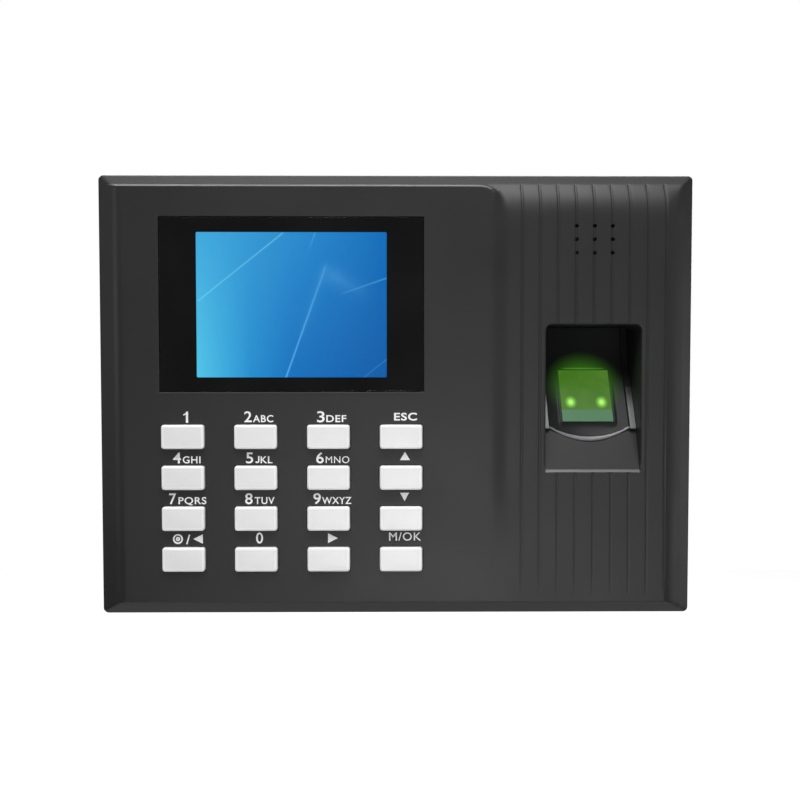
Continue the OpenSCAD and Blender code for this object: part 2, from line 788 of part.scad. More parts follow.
module speaker_frame() {
    color([0.2, 0.2, 0.2]) slab(inner_d - 4.4, inner_d - 0.2) translate([sensor_x, speaker_z])
        difference() {
            circle(10);
            circle(8.8);
        }
}

module speaker_cone() {
    color([0.1, 0.1, 0.11]) translate([sensor_x, -inner_d + 0.6, speaker_z]) rotate([-90, 0, 0])
        rotate_extrude() polygon([[0, 0], [3.4, 0], [8.75, 0.9], [8.75, 1.3], [3.4, 0.5], [0, 0.5]]);
}

module speaker_magnet() {
    color([0.6, 0.6, 0.62]) {
        rod([sensor_x, speaker_z], 6, inner_d - 7.4, inner_d - 4.4);
        rod([sensor_x, speaker_z], 9.6, inner_d - 5, inner_d - 4.4 - eps);
    }
}

// ---------- switches on the main board ----------

module switch_body(p, bore_r) {
    color([0.12, 0.12, 0.13]) difference() {
        chip(p, switch_w, switch_w, switch_h);
        rod(p, bore_r, board_back_d - switch_h - 1, board_back_d - 0.6);
    }
}

module tamper_switch() { switch_body(tamper_pos, tamper_r + 0.1); }

// Rod that the bracket presses: it reaches through the rear cover to the tamper switch
module tamper_plunger() {
    color([0.9, 0.9, 0.88]) rod(tamper_pos, tamper_r, sheet + 0.1,
                                board_back_d - switch_h + 1);
}

module reset_switch() { switch_body(reset_pos, reset_r + 0.1); }

module reset_button() {
    color([0.85, 0.85, 0.85])
        rod(reset_pos, reset_r, board_back_d - switch_h - 1, board_back_d - 1.4, hidden_fn);
}

// ---------- wall bracket ----------

// Sheet steel plate with bent hooks and a tab for the locking screw
module wall_bracket() {
    reach = inner_back_d + 0.3;
    color([0.72, 0.73, 0.75]) difference() {
        union() {
            slab(0, sheet) rounded(140, 100, 3);
            block([-tab_w/2, tab_z - sheet], [tab_w/2, -49], 0, sheet);
            block([-tab_w/2, tab_z - sheet], [tab_w/2, tab_z], 0, tab_l);
            for (p = HOOKS) {
                block([p[0] - hook_w/2, p[1] - sheet], [p[0] + hook_w/2, p[1]], 0, reach + sheet);
                block([p[0] - hook_w/2, p[1] - sheet], [p[0] + hook_w/2, p[1] + hook_h],
                      reach, reach + sheet);
            }
        }
        // windows that the hooks are bent out of
        for (p = HOOKS)
            block([p[0] - hook_w/2 - 0.8, p[1]], [p[0] + hook_w/2 + 0.8, p[1] + hook_h + 2.5],
                  -1, sheet + 0.2);
        // cable opening
        slab(-1, sheet + 1) translate([-18, -17.5]) rounded(62, 24, 2);
        for (p = WALL_HOLES) rod(p, wall_hole_r, -1, sheet + 1);
        translate([0, -lock_d, tab_z - 5]) cylinder(h = 10, r = lock_r + 0.2);
    }
}

// Screw that goes up through the tab into the rear cover
module lock_screw() {
    head_h = 1.9;
    color([0.5, 0.5, 0.52]) translate([0, -lock_d, tab_z - sheet - head_h]) difference() {
        union() {
            cylinder(h = head_h, r = 2.7);
            cylinder(h = head_h + sheet + 6, r = lock_r);
        }
        translate([0, 0, -1]) cylinder(h = 2.2, r = 1.1, $fn = 6);
    }
}

// ---------- drawing ----------

wall_bracket();
lock_screw();
front_cover();
rear_cover();
rating_label();
case_screws();
display_window();
window_adhesive();
lcd_frame();
lcd_panel();
lcd_foam();
lcd_flex();
keypad_mat();
keypad_board();
keypad_screws();
keypad_connector();
key(0);  // key_1
key(1);  // key_2
key(2);  // key_3
key(3);  // key_esc
key(4);  // key_4
key(5);  // key_5
key(6);  // key_6
key(7);  // key_up
key(8);  // key_7
key(9);  // key_8
key(10);  // key_9
key(11);  // key_down
key(12);  // key_left
key(13);  // key_0
key(14);  // key_right
key(15);  // key_ok
sensor_bezel();
sensor_prism();
sensor_housing();
sensor_board();
sensor_lens();
sensor_leds();
sensor_cable();
main_board();
board_screws();
board_chips();
board_capacitors();
coin_cell();
coin_cell_holder();
ethernet_jack();
ethernet_contacts();
dc_jack();
dc_jack_pin();
usb_shell();
usb_tongue();
wiring_header();
header_pins();
speaker_frame();
speaker_cone();
speaker_magnet();
tamper_switch();
tamper_plunger();
reset_switch();
reset_button();
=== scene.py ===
"""Looks of the wall-mounted fingerprint terminal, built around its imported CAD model.

Lengths in this script are in millimetres, in the CAD's own frame: +X right, +Z up, and depth
is the distance out from the wall, so a point at depth d lies at Y = -d. The function mm()
turns them into Blender's metres.
"""

import json
import math

import bmesh
import bpy
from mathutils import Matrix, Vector


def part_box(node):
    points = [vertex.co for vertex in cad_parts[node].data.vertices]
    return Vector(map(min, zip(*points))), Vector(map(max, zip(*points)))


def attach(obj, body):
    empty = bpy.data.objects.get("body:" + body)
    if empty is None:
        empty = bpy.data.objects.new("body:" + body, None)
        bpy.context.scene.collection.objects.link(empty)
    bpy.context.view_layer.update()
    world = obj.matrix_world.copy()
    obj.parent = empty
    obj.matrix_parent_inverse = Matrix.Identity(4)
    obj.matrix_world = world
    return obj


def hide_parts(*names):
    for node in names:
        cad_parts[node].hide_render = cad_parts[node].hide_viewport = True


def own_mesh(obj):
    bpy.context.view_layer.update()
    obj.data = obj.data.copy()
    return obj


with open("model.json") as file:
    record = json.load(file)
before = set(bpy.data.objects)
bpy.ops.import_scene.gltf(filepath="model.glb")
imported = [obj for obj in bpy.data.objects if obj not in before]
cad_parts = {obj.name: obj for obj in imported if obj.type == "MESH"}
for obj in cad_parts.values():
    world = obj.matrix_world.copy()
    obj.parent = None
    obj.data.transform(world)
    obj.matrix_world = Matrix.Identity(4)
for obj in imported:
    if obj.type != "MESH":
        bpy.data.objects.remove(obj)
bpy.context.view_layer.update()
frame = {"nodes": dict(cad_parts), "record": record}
NODES = frame["nodes"]
MM = 0.001


# ---------- sizes, most of them read from the CAD frame ----------

def node_box(name):
    """(lowest, highest) corner of a CAD node as millimetres: x, depth, z."""
    lo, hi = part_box(name)
    return (
        Vector((lo.x / MM, -hi.y / MM, lo.z / MM)),
        Vector((hi.x / MM, -lo.y / MM, hi.z / MM)),
    )


def face_rect(lo, hi):
    """Centre and size of a box seen from the front: x, z, width, height."""
    return (lo.x + hi.x) / 2, (lo.z + hi.z) / 2, hi.x - lo.x, hi.z - lo.z


case_lo, case_hi = node_box("front_cover")
window_lo, window_hi = node_box("display_window")
panel_lo, panel_hi = node_box("lcd_panel")
bezel_lo, bezel_hi = node_box("sensor_bezel")
prism_lo, prism_hi = node_box("sensor_prism")
speaker_lo, speaker_hi = node_box("speaker_frame")

half_w = case_hi.x
half_h = case_hi.z
front_d = case_hi.y             # flat front face
split_d = case_lo.y             # joint with the rear cover
bevel_drop = 8
shoulder_d = front_d - bevel_drop   # where the bevels end and the straight sides begin
ledge_d = front_d - 4           # foot of the riser at the top
rib_d = front_d - 0.8           # ribbed zone on the right
inner_d = front_d - 2.6         # inside of the front wall
case_corner_r = 1.5
case_edge_r = 0.7

# Bevels seen from the front
bottom_bevel_h = 4.9
left_bevel_w = 7.6
right_bevel_slope = 1.023

# Flat front face: its top edge, its right edge and the corner between them
plateau_top = 62.3
riser_foot = 63.7
riser_steepness = 9
rib_x = 33.9
step_w = 6.1
plateau_r = 9.5

# Ribbed zone: rolled back at the top, flush with the plateau at the bottom, and turned down
# in a band along its right side
roll_l = 13
flush_from, flush_over = -20, 32
band_x, band_w = 80.6, 5.6

# Finger well and the trough in it
sensor_x = (bezel_lo.x + bezel_hi.x) / 2
trough_half = (bezel_hi.x - bezel_lo.x) / 2
well_half = trough_half + 0.15
well_top = bezel_hi.z - 1.6
well_bottom = -21.8
well_r = 1.8
lip_z = -12.9
lip_d = front_d - 5.5
slope = math.tan(math.radians(30))

groove_pitch = 5.38
GROOVES = [sensor_x + groove_pitch * i for i in range(-4, 5)]
groove_w = 0.8
groove_depth = 0.26
groove_end = -60

speaker_z = (speaker_lo.z + speaker_hi.z) / 2
SPEAKER_HOLES = [
    (sensor_x + i * groove_pitch, speaker_z + 4 * j) for i in (-1, 0, 1) for j in (-1, 0, 1)
]
speaker_hole_r = 0.57

KEYS = [
    "key_1", "key_2", "key_3", "key_esc",
    "key_4", "key_5", "key_6", "key_up",
    "key_7", "key_8", "key_9", "key_down",
    "key_left", "key_0", "key_right", "key_ok",
]
key_flange = 0.6


def key_rect(name):
    """Centre and size of a key's cap: x, z, width, height."""
    x, z, w, h = face_rect(*node_box(name))
    return x, z, w - 2 * key_flange, h - 2 * key_flange


def mm(x, depth, z):
    return Vector((x * MM, -depth * MM, z * MM))


# ---------- small maths ----------

def clamp(t):
    return max(0.0, min(1.0, t))


def smooth(t):
    t = clamp(t)
    return t * t * (3 - 2 * t)


def lerp(a, b, t):
    return a + (b - a) * t


def soft_min(a, b, k):
    """Smaller of a and b, blended where they differ by less than k."""
    h = max(k - abs(a - b), 0.0) / k
    return min(a, b) - h * h * k / 4


def spread(a, b, n):
    """n + 1 values from a to b."""
    return [a + (b - a) * i / n for i in range(n + 1)]


def merged(*lists, least=0.04):
    """One rising list without values closer together than least."""
    out = []
    for v in sorted(v for values in lists for v in values):
        if not out or v - out[-1] > least:
            out.append(v)
    return out


# ---------- mesh helpers ----------

def shade(obj, angle):
    """Smooth shading with edges sharper than angle, in degrees, kept sharp."""
    mesh = obj.data
    for p in mesh.polygons:
        p.use_smooth = True
    mesh.set_sharp_from_angle(angle=math.radians(angle))


def new_object(name, verts, faces, material=None, body=None, smooth_angle=None):
    """Mesh object from points in millimetres (x, depth, z)."""
    mesh = bpy.data.meshes.new(name)
    mesh.from_pydata([mm(*v) for v in verts], [], faces)
    mesh.validate()
    bm = bmesh.new()
    bm.from_mesh(mesh)
    bmesh.ops.recalc_face_normals(bm, faces=bm.faces)
    bm.to_mesh(mesh)
    bm.free()
    obj = bpy.data.objects.new(name, mesh)
    bpy.context.scene.collection.objects.link(obj)
    if material:
        mesh.materials.append(material)
    if smooth_angle is not None:
        shade(obj, smooth_angle)
    if body:
        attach(obj, body)
    return obj


def set_material(obj, mat):
    obj.data.materials.clear()
    obj.data.materials.append(mat)


def weighted_normals(obj):
    m = obj.modifiers.new("weighted", "WEIGHTED_NORMAL")
    m.keep_sharp = True
    m.weight = 80


def bevel(obj, width):
    m = obj.modifiers.new("bevel", "BEVEL")
    m.width = width * MM
    m.segments = 2
    m.limit_method = "ANGLE"
    m.angle_limit = math.radians(35)


def boolean(obj, cutter, operation):
    """Applies an exact boolean to obj and removes the cutter."""
    m = obj.modifiers.new("cut", "BOOLEAN")
    m.operation = operation
    m.solver = "EXACT"
    m.object = cutter
    bpy.context.view_layer.update()
    result = mesh_of(obj)
    obj.modifiers.clear()
    old = obj.data
    obj.data = result
    bpy.data.meshes.remove(old)
    bpy.data.objects.remove(cutter)


def mesh_of(obj):
    """New mesh of the object with its modifiers applied."""
    return bpy.data.meshes.new_from_object(obj.evaluated_get(bpy.context.evaluated_depsgraph_get()))


def rounded_outline(x, z, w, h, r, steps=6):
    """Points round a rectangle with round corners, in order."""
    pts = []
    for cx, cz, start in (
        (x + w / 2 - r, z + h / 2 - r, 0), (x - w / 2 + r, z + h / 2 - r, 90),
        (x - w / 2 + r, z - h / 2 + r, 180), (x + w / 2 - r, z - h / 2 + r, 270),
    ):
        for i in range(steps + 1):
            a = math.radians(start + 90 * i / steps)
            pts.append((cx + r * math.cos(a), cz + r * math.sin(a)))
    return pts


def circle_outline(x, z, r, n):
    return [
        (x + r * math.cos(math.tau * i / n), z + r * math.sin(math.tau * i / n)) for i in range(n)
    ]


def at_depth(outline, d):
    return [(x, d, z) for x, z in outline]


def loft(rings, closed=False):
    """Verts and faces through rings of equal length. Each ring is a list of (x, depth, z). A
    closed loft joins its last ring to its first; any other gets a cap at each end."""
    n = len(rings[0])
    verts = [p for ring in rings for p in ring]
    faces = []
    count = len(rings)
    for k in range(count if closed else count - 1):
        a, b = k * n, ((k + 1) % count) * n
        for i in range(n):
            j = (i + 1) % n
            faces.append((a + i, a + j, b + j, b + i))
    if not closed:
        faces += [tuple(range(n)), tuple(range((count - 1) * n, count * n))]
    return verts, faces


def join_parts(parts):
    """One (verts, faces) from several."""
    verts, faces = [], []
    for v, f in parts:
        base = len(verts)
        verts += v
        faces += [tuple(i + base for i in face) for face in f]
    return verts, faces


# ---------- material helpers ----------

def new_material(name):
    mat = bpy.data.materials.new(name)
    mat.use_nodes = True
    tree = mat.node_tree
    return mat, tree, tree.nodes["Principled BSDF"]


def object_coords(tree):
    return tree.nodes.new("ShaderNodeTexCoord").outputs["Object"]


def axes(tree):
    """Object coordinates one by one: outputs X, Y and Z, in metres."""
    sep = tree.nodes.new("ShaderNodeSeparateXYZ")
    tree.links.new(object_coords(tree), sep.inputs[0])
    return sep.outputs


def noise(tree, coords, scale_mm, detail=2.0, stretch=(1, 1, 1)):
    """Noise whose features are about scale_mm across."""
    mapping = tree.nodes.new("ShaderNodeMapping")
    mapping.inputs["Scale"].default_value = [1 / (scale_mm * MM) * s for s in stretch]
    tree.links.new(coords, mapping.inputs["Vector"])
    n = tree.nodes.new("ShaderNodeTexNoise")
    n.inputs["Scale"].default_value = 1.0
    n.inputs["Detail"].default_value = detail
    n.inputs["Roughness"].default_value = 0.5
    tree.links.new(mapping.outputs["Vector"], n.inputs["Vector"])
    return n.outputs["Fac"]


def ramp(tree, value, stops):
    """Colour ramp over value. Stops are (position, grey or rgb)."""
    r = tree.nodes.new("ShaderNodeValToRGB")
    elements = r.color_ramp.elements
    while len(elements) > len(stops):
        elements.remove(elements[-1])
    while len(elements) < len(stops):
        elements.new(1.0)
    for e, (pos, col) in zip(elements, stops):
        e.position = pos
        e.color = (*col, 1) if isinstance(col, tuple) else (col, col, col, 1)
    tree.links.new(value, r.inputs["Fac"])
    return r.outputs["Color"]


def mix_colour(tree, factor, a, b, blend="MIX"):
    """Colour a blended towards b by factor. Each colour is a socket or an rgb."""
    m = tree.nodes.new("ShaderNodeMix")
    m.data_type = "RGBA"
    m.blend_type = blend
    tree.links.new(factor, m.inputs[0])
    for socket, value in ((m.inputs[6], a), (m.inputs[7], b)):
        if isinstance(value, tuple):
            socket.default_value = (*value, 1)
        else:
            tree.links.new(value, socket)
    return m.outputs[2]


def maths(tree, operation, a, b=None, c=None, clamped=False):
    n = tree.nodes.new("ShaderNodeMath")
    n.operation = operation
    n.use_clamp = clamped
    for slot_index, v in enumerate((a, b, c)):
        if isinstance(v, (int, float)):
            n.inputs[slot_index].default_value = v
        elif v is not None:
            tree.links.new(v, n.inputs[slot_index])
    return n.outputs[0]


def product(tree, *values, clamped=False):
    out = values[0]
    for v in values[1:]:
        out = maths(tree, "MULTIPLY", out, v, clamped=clamped)
    return out


def hypotenuse(tree, a, b):
    return maths(tree, "SQRT", maths(tree, "ADD", product(tree, a, a), product(tree, b, b)))


def one_minus(tree, value):
    return maths(tree, "SUBTRACT", 1.0, value, clamped=True)


def offset_in(tree, value, centre_mm, reach_mm, clamped=False):
    """(value - centre) / reach, for a value in metres."""
    off = maths(tree, "SUBTRACT", value, centre_mm * MM)
    return maths(tree, "DIVIDE", off, reach_mm * MM, clamped=clamped)


def bump(tree, bsdf, height, distance_mm):
    b = tree.nodes.new("ShaderNodeBump")
    b.inputs["Strength"].default_value = 1.0
    b.inputs["Distance"].default_value = distance_mm * MM
    tree.links.new(height, b.inputs["Height"])
    tree.links.new(b.outputs["Normal"], bsdf.inputs["Normal"])


def surface(name, dark, light, rough, grain_mm=0.3, grain_depth=0.01, metallic=0.0,
            patch_mm=25, specular=0.5, stretch=(1, 1, 1)):
    """Moulded, painted or metal surface: colour drifts between dark and light, roughness between
    two values, and a fine grain is raised by grain_depth millimetres."""
    mat, tree, bsdf = new_material(name)
    co = object_coords(tree)
    patches = noise(tree, co, patch_mm, detail=3)
    grain = noise(tree, co, grain_mm, detail=2, stretch=stretch)
    mix = maths(tree, "MULTIPLY_ADD", grain, 0.35, maths(tree, "MULTIPLY", patches, 0.65))
    tree.links.new(ramp(tree, mix, [(0.3, dark), (0.7, light)]), bsdf.inputs["Base Color"])
    tree.links.new(ramp(tree, mix, [(0.3, rough[0]), (0.7, rough[1])]), bsdf.inputs["Roughness"])
    bump(tree, bsdf, grain, grain_depth)
    bsdf.inputs["Metallic"].default_value = metallic
    bsdf.inputs["Specular IOR Level"].default_value = specular
    return mat


def emit(tree, bsdf, colour, strength=1.0):
    tree.links.new(colour, bsdf.inputs["Emission Color"])
    bsdf.inputs["Emission Strength"].default_value = strength


# ---------- materials ----------

# Slot: colour range, roughness range, and what differs from the usual grain and gloss
LOOKS = {
    "case_front": ((0.0165, 0.0165, 0.0178), (0.0205, 0.0205, 0.0218), (0.42, 0.52),
        dict(grain_mm=0.28, grain_depth=0.012, specular=0.38)),
    "case_back": ((0.026, 0.026, 0.028), (0.032, 0.032, 0.034), (0.5, 0.62),
        dict(grain_mm=0.45, grain_depth=0.022, specular=0.45)),
    "key_silver": ((0.86, 0.86, 0.865), (0.91, 0.91, 0.915), (0.34, 0.44),
        dict(grain_mm=0.12, grain_depth=0.004, metallic=0.08, patch_mm=9, stretch=(1, 1, 0.15))),
    # lighter copy of the key paint for the rounded rims of the caps: painted highlight
    "key_rim_painted_highlight": ((0.95, 0.95, 0.955), (0.985, 0.985, 0.985), (0.3, 0.4),
        dict(grain_mm=0.12, grain_depth=0.003, patch_mm=9)),
    "housing_black": ((0.015, 0.015, 0.016), (0.025, 0.025, 0.027), (0.4, 0.6), {}),
    "bracket_steel": ((0.37, 0.375, 0.385), (0.41, 0.415, 0.425), (0.47, 0.52),
        dict(grain_mm=1.2, grain_depth=0.003, metallic=0.9, patch_mm=4)),
    "screw_steel": ((0.36, 0.36, 0.37), (0.46, 0.46, 0.47), (0.36, 0.46),
        dict(grain_mm=0.2, grain_depth=0.003, metallic=1.0, patch_mm=2)),
    "lcd_metal": ((0.6, 0.6, 0.61), (0.7, 0.7, 0.71), (0.3, 0.4), dict(metallic=1.0, patch_mm=12)),
    "adhesive_black": ((0.02, 0.02, 0.02), (0.03, 0.03, 0.03), (0.6, 0.8), {}),
    "foam_grey": ((0.05, 0.05, 0.055), (0.09, 0.09, 0.095), (0.85, 0.98),
        dict(grain_mm=0.35, grain_depth=0.08, specular=0.2)),
    "film_amber": ((0.45, 0.2, 0.03), (0.6, 0.3, 0.06), (0.25, 0.35),
        dict(grain_mm=0.8, grain_depth=0.004)),
    "silicone_grey": ((0.2, 0.2, 0.21), (0.26, 0.26, 0.27), (0.5, 0.65),
        dict(grain_mm=0.5, grain_depth=0.006)),
    "circuit_green": ((0.006, 0.06, 0.02), (0.015, 0.11, 0.04), (0.25, 0.4),
        dict(grain_mm=0.9, grain_depth=0.01, patch_mm=4)),
    "connector_ivory": ((0.7, 0.68, 0.6), (0.78, 0.76, 0.69), (0.35, 0.5),
        dict(grain_mm=0.4, grain_depth=0.006, patch_mm=8)),
    "bright_metal": ((0.68, 0.68, 0.69), (0.8, 0.8, 0.81), (0.16, 0.28),
        dict(grain_mm=0.5, grain_depth=0.003, metallic=1.0, patch_mm=5)),
    "contact_gold": ((0.75, 0.52, 0.2), (0.85, 0.62, 0.28), (0.18, 0.28),
        dict(metallic=1.0, patch_mm=2)),
    "tongue_white": ((0.72, 0.72, 0.72), (0.8, 0.8, 0.8), (0.35, 0.5), {}),
    "cable_white": ((0.65, 0.65, 0.63), (0.75, 0.75, 0.73), (0.35, 0.5),
        dict(grain_mm=1.0, grain_depth=0.01)),
    "label_silver": ((0.55, 0.55, 0.56), (0.63, 0.63, 0.64), (0.3, 0.42),
        dict(grain_mm=0.25, grain_depth=0.003, metallic=0.6, patch_mm=6)),
}
M = {name: surface(name, *look, **extra) for name, (*look, extra) in LOOKS.items()}


def ink_material():
    mat, tree, bsdf = new_material("legend_ink")
    wear = noise(tree, object_coords(tree), 0.5)
    tree.links.new(ramp(tree, wear, [(0.25, 0.92), (0.6, 0.98)]), bsdf.inputs["Base Color"])
    tree.links.new(ramp(tree, wear, [(0.3, 0.4), (0.7, 0.55)]), bsdf.inputs["Roughness"])
    bump(tree, bsdf, wear, 0.004)
    return mat


def glass_clear():
    mat, tree, bsdf = new_material("window_clear")
    smear = noise(tree, object_coords(tree), 18, detail=3)
    bsdf.inputs["Base Color"].default_value = (0.93, 0.95, 0.95, 1)
    bsdf.inputs["IOR"].default_value = 1.49
    bsdf.inputs["Transmission Weight"].default_value = 1.0
    tree.links.new(ramp(tree, smear, [(0.4, 0.015), (0.75, 0.04)]), bsdf.inputs["Roughness"])
    return mat


def border_material():
    """Black ink behind the window, with a faint grey emission on it: painted light standing in for
    the light the ink gets through the pane.
    """
    mat = surface("border_ink", (0.009, 0.009, 0.0098), (0.0125, 0.0125, 0.0135), (0.25, 0.4),
                  grain_mm=0.5, grain_depth=0.001)
    tree = mat.node_tree
    # painted light: faint grey emission in place of the light falling on the ink
    painted_fill_light = ramp(tree, noise(tree, object_coords(tree), 20), [(0.3, 0.005), (0.7, 0.008)])
    emit(tree, tree.nodes["Principled BSDF"], painted_fill_light)
    return mat


# Lit part of the display panel: left, right, bottom, top
lit_left, lit_right = panel_lo.x + 1.85, panel_hi.x - 1
lit_bottom, lit_top = panel_lo.z + 1, panel_hi.z - 1
lit_w, lit_h = lit_right - lit_left, lit_top - lit_bottom

# Light streaks of the wallpaper: start, end, half width, share of light lost at the end, tint.
# Places are shares of the picture's width and height from its upper left corner.
STREAKS = (
    ((0.45, 0.0), (0.0, 0.47), 0.0075, 0.3, (0.14, 0.30, 0.20)),
    ((0.62, 0.0), (0.58, 0.15), 0.007, 1.0, (0.07, 0.20, 0.20)),
    ((0.465, 1.0), (0.675, 0.235), 0.009, 0.7, (0.13, 0.36, 0.38)),
    ((0.675, 0.235), (0.55, 0.69), 0.05, 0.6, (0.02, 0.05, 0.05)),
    ((1.0, 0.31), (0.76, 0.42), 0.008, 0.7, (0.09, 0.24, 0.26)),
    ((1.0, 0.875), (0.86, 1.02), 0.006, 0.4, (0.05, 0.16, 0.18)),
    ((0.72, 0.30), (0.86, 0.40), 0.10, 0.6, (0.03, 0.075, 0.08)),
)


def streak(tree, u, v, start, end, width, loss):
    """Brightness of a line in the picture, fading towards its end."""
    aspect = lit_h / lit_w
    px, py, qx, qy = start[0], start[1] * aspect, end[0], end[1] * aspect
    dx, dy = qx - px, qy - py
    ux = maths(tree, "SUBTRACT", u, px)
    vy = maths(tree, "SUBTRACT", product(tree, v, aspect), py)
    along = maths(tree, "ADD", product(tree, ux, dx), product(tree, vy, dy))
    t = maths(tree, "DIVIDE", along, dx * dx + dy * dy, clamped=True)
    ex = maths(tree, "SUBTRACT", ux, product(tree, t, dx))
    ey = maths(tree, "SUBTRACT", vy, product(tree, t, dy))
    near = one_minus(tree, maths(tree, "DIVIDE", hypotenuse(tree, ex, ey), width))
    return product(tree, near, near, one_minus(tree, product(tree, t, loss)))


def screen_picture():
    """Blue wallpaper of the display: a cyan to deep blue drift with a few light streaks."""
    mat, tree, bsdf = new_material("screen_picture")
    place = axes(tree)
    u = maths(tree, "DIVIDE", maths(tree, "SUBTRACT", place["X"], lit_left * MM), lit_w * MM)
    v = maths(tree, "DIVIDE", maths(tree, "SUBTRACT", lit_top * MM, place["Z"]), lit_h * MM)
    top = ramp(tree, u, [
        (0.0, (0.058, 0.445, 0.82)), (0.3, (0.035, 0.345, 0.73)),
        (0.6, (0.018, 0.265, 0.67)), (1.0, (0.002, 0.17, 0.55)),
    ])
    bottom = ramp(tree, u, [
        (0.0, (0.09, 0.62, 0.91)), (0.14, (0.047, 0.45, 0.81)), (0.28, (0.016, 0.30, 0.70)),
        (0.5, (0.003, 0.18, 0.58)), (1.0, (0.001, 0.115, 0.44)),
    ])
    col = mix_colour(tree, product(tree, v, 1.0, clamped=True), top, bottom)
    for start, end, width, loss, tint in STREAKS:
        amount = streak(tree, u, v, start, end, width, loss)
        col = mix_colour(tree, amount, col, tint, blend="ADD")
    bsdf.inputs["Base Color"].default_value = (0.002, 0.002, 0.002, 1)
    bsdf.inputs["Roughness"].default_value = 0.5
    bsdf.inputs["Specular IOR Level"].default_value = 0.1
    emit(tree, bsdf, col)
    return mat


# ---------- front cover ----------

def plain_depth(x, z):
    """Depth of the cover's outer surface without grooves."""
    below_foot = riser_foot - z
    ledge_slope = (ledge_d - shoulder_d) / (half_h - riser_foot)
    top_bevel = ledge_d + below_foot * (riser_steepness if below_foot > 0 else ledge_slope)
    bottom_bevel = shoulder_d + (z + half_h) * bevel_drop / bottom_bevel_h
    left_bevel = shoulder_d + (x + half_w) * bevel_drop / left_bevel_w
    right_bevel = shoulder_d + (half_w - x) * right_bevel_slope

    # ribbed zone
    level = lerp(rib_d, front_d, smooth((flush_from - z) / flush_over))
    roll = clamp(1 - below_foot / roll_l)
    ribbed = level - (level - ledge_d) * roll ** 2.7
    if z > riser_foot:
        ribbed = ledge_d
    band = clamp((x - band_x) / band_w)
    turned = 0.86 * band * smooth(0.35 + 0.65 * band) * (1 - 0.8 * roll)
    ribbed = lerp(ribbed, ledge_d, turned)

    # plateau: distance inside its rounded outline; side is 0 along its top, 1 along its right
    corner_x, corner_z = rib_x - plateau_r, riser_foot - plateau_r
    if x > corner_x and z > corner_z:
        dx, dz = x - corner_x, z - corner_z
        inside = plateau_r - math.hypot(dx, dz)
        side = math.atan2(dx, dz) / (math.pi / 2)
    else:
        inside = min(rib_x - x, below_foot)
        side = 1.0 if rib_x - x < below_foot else 0.0
    width = lerp(riser_foot - plateau_top + 0.1, step_w, smooth(side * 1.4 - 0.4))
    body = lerp(ribbed, front_d, smooth(inside / width))

    body = soft_min(body, top_bevel, 0.5)
    body = soft_min(body, bottom_bevel, 1.1)
    body = soft_min(body, left_bevel, 1.6)
    return soft_min(body, right_bevel, 0.8)


def groove(x, z):
    """Depth that the grooves take off: most near the top, and none at their ends."""
    ends = smooth((z - groove_end) / 6) * smooth((riser_foot + 0.2 - z) / 0.8)
    fade = ends * lerp(0.3, 0.85, smooth((z + 45) / 70))
    for g in GROOVES:
        t = abs(x - g) / (groove_w / 2)
        if t < 1.7:
            return groove_depth * fade * (1 - smooth((t - 0.35) / 1.0))
    return 0.0


def outer_depth(x, z):
    edge = min(half_w - abs(x), half_h - abs(z))
    r = case_edge_r
    round_off = r - math.sqrt(max(r * r - (r - edge) ** 2, 0)) if edge < r else 0.0
    return plain_depth(x, z) - groove(x, z) - round_off


def round_corner(x, z, r):
    """Moves points of the square corner onto a round one."""
    px = max(abs(x) - (half_w - r), 0) / r
    pz = max(abs(z) - (half_h - r), 0) / r
    if px <= 0 or pz <= 0:
        return x, z
    k = max(px, pz) / math.hypot(px, pz)
    return math.copysign(half_w - r + px * k * r, x), math.copysign(half_h - r + pz * k * r, z)


def front_shell():
    """Closed solid of the front cover: fine grid in front, straight sides, flat back."""
    rim = [0.0, 0.06, 0.2, 0.42, case_edge_r]
    groove_offsets = [-0.6, -0.46, -0.32, -0.18, -0.06, 0.06, 0.18, 0.32, 0.46, 0.6]
    flat_left, step_left, step_right, band_left = -79, 24, 36, 81.5
    xs = merged(
        [-half_w + r for r in rim], [half_w - r for r in rim],
        spread(-half_w + case_edge_r, flat_left, 16), spread(flat_left, step_left, 20),
        spread(step_left, step_right, 16),
        [g + o for g in GROOVES for o in groove_offsets],
        [g + groove_pitch * k for g in GROOVES for k in (-0.3, 0.3, 0.5)],
        spread(band_left, half_w - case_edge_r, 14),
    )
    flat_foot, flush_end, roll_foot, riser_low, riser_high = -59, -16, 50, 61.5, 64.4
    zs = merged(
        [-half_h + r for r in rim], [half_h - r for r in rim],
        spread(-half_h + case_edge_r, flat_foot, 14), spread(flat_foot, flush_end, 12),
        spread(flush_end, roll_foot, 16), spread(roll_foot, riser_low, 12),
        spread(riser_low, riser_high, 12), spread(riser_high, half_h - case_edge_r, 5),
    )
    nx, nz = len(xs), len(zs)
    least_side = 5
    verts = []
    for z in zs:
        for x in xs:
            px, pz = round_corner(x, z, case_corner_r)
            verts.append((px, max(outer_depth(x, z), split_d + least_side), pz))
    faces = [
        (j * nx + i, j * nx + i + 1, (j + 1) * nx + i + 1, (j + 1) * nx + i)
        for j in range(nz - 1) for i in range(nx - 1)
    ]
    ring = list(range(nx))
    ring += [j * nx + nx - 1 for j in range(1, nz)]
    ring += [(nz - 1) * nx + i for i in range(nx - 2, -1, -1)]
    ring += [j * nx for j in range(nz - 2, 0, -1)]
    base = len(verts)
    for i in ring:
        x, _, z = verts[i]
        verts.append((x, split_d, z))
    n = len(ring)
    for i in range(n):
        j = (i + 1) % n
        faces.append((ring[i], ring[j], base + j, base + i))
    faces.append(tuple(range(base, base + n)))
    return new_object("front_cover_shell", verts, faces)


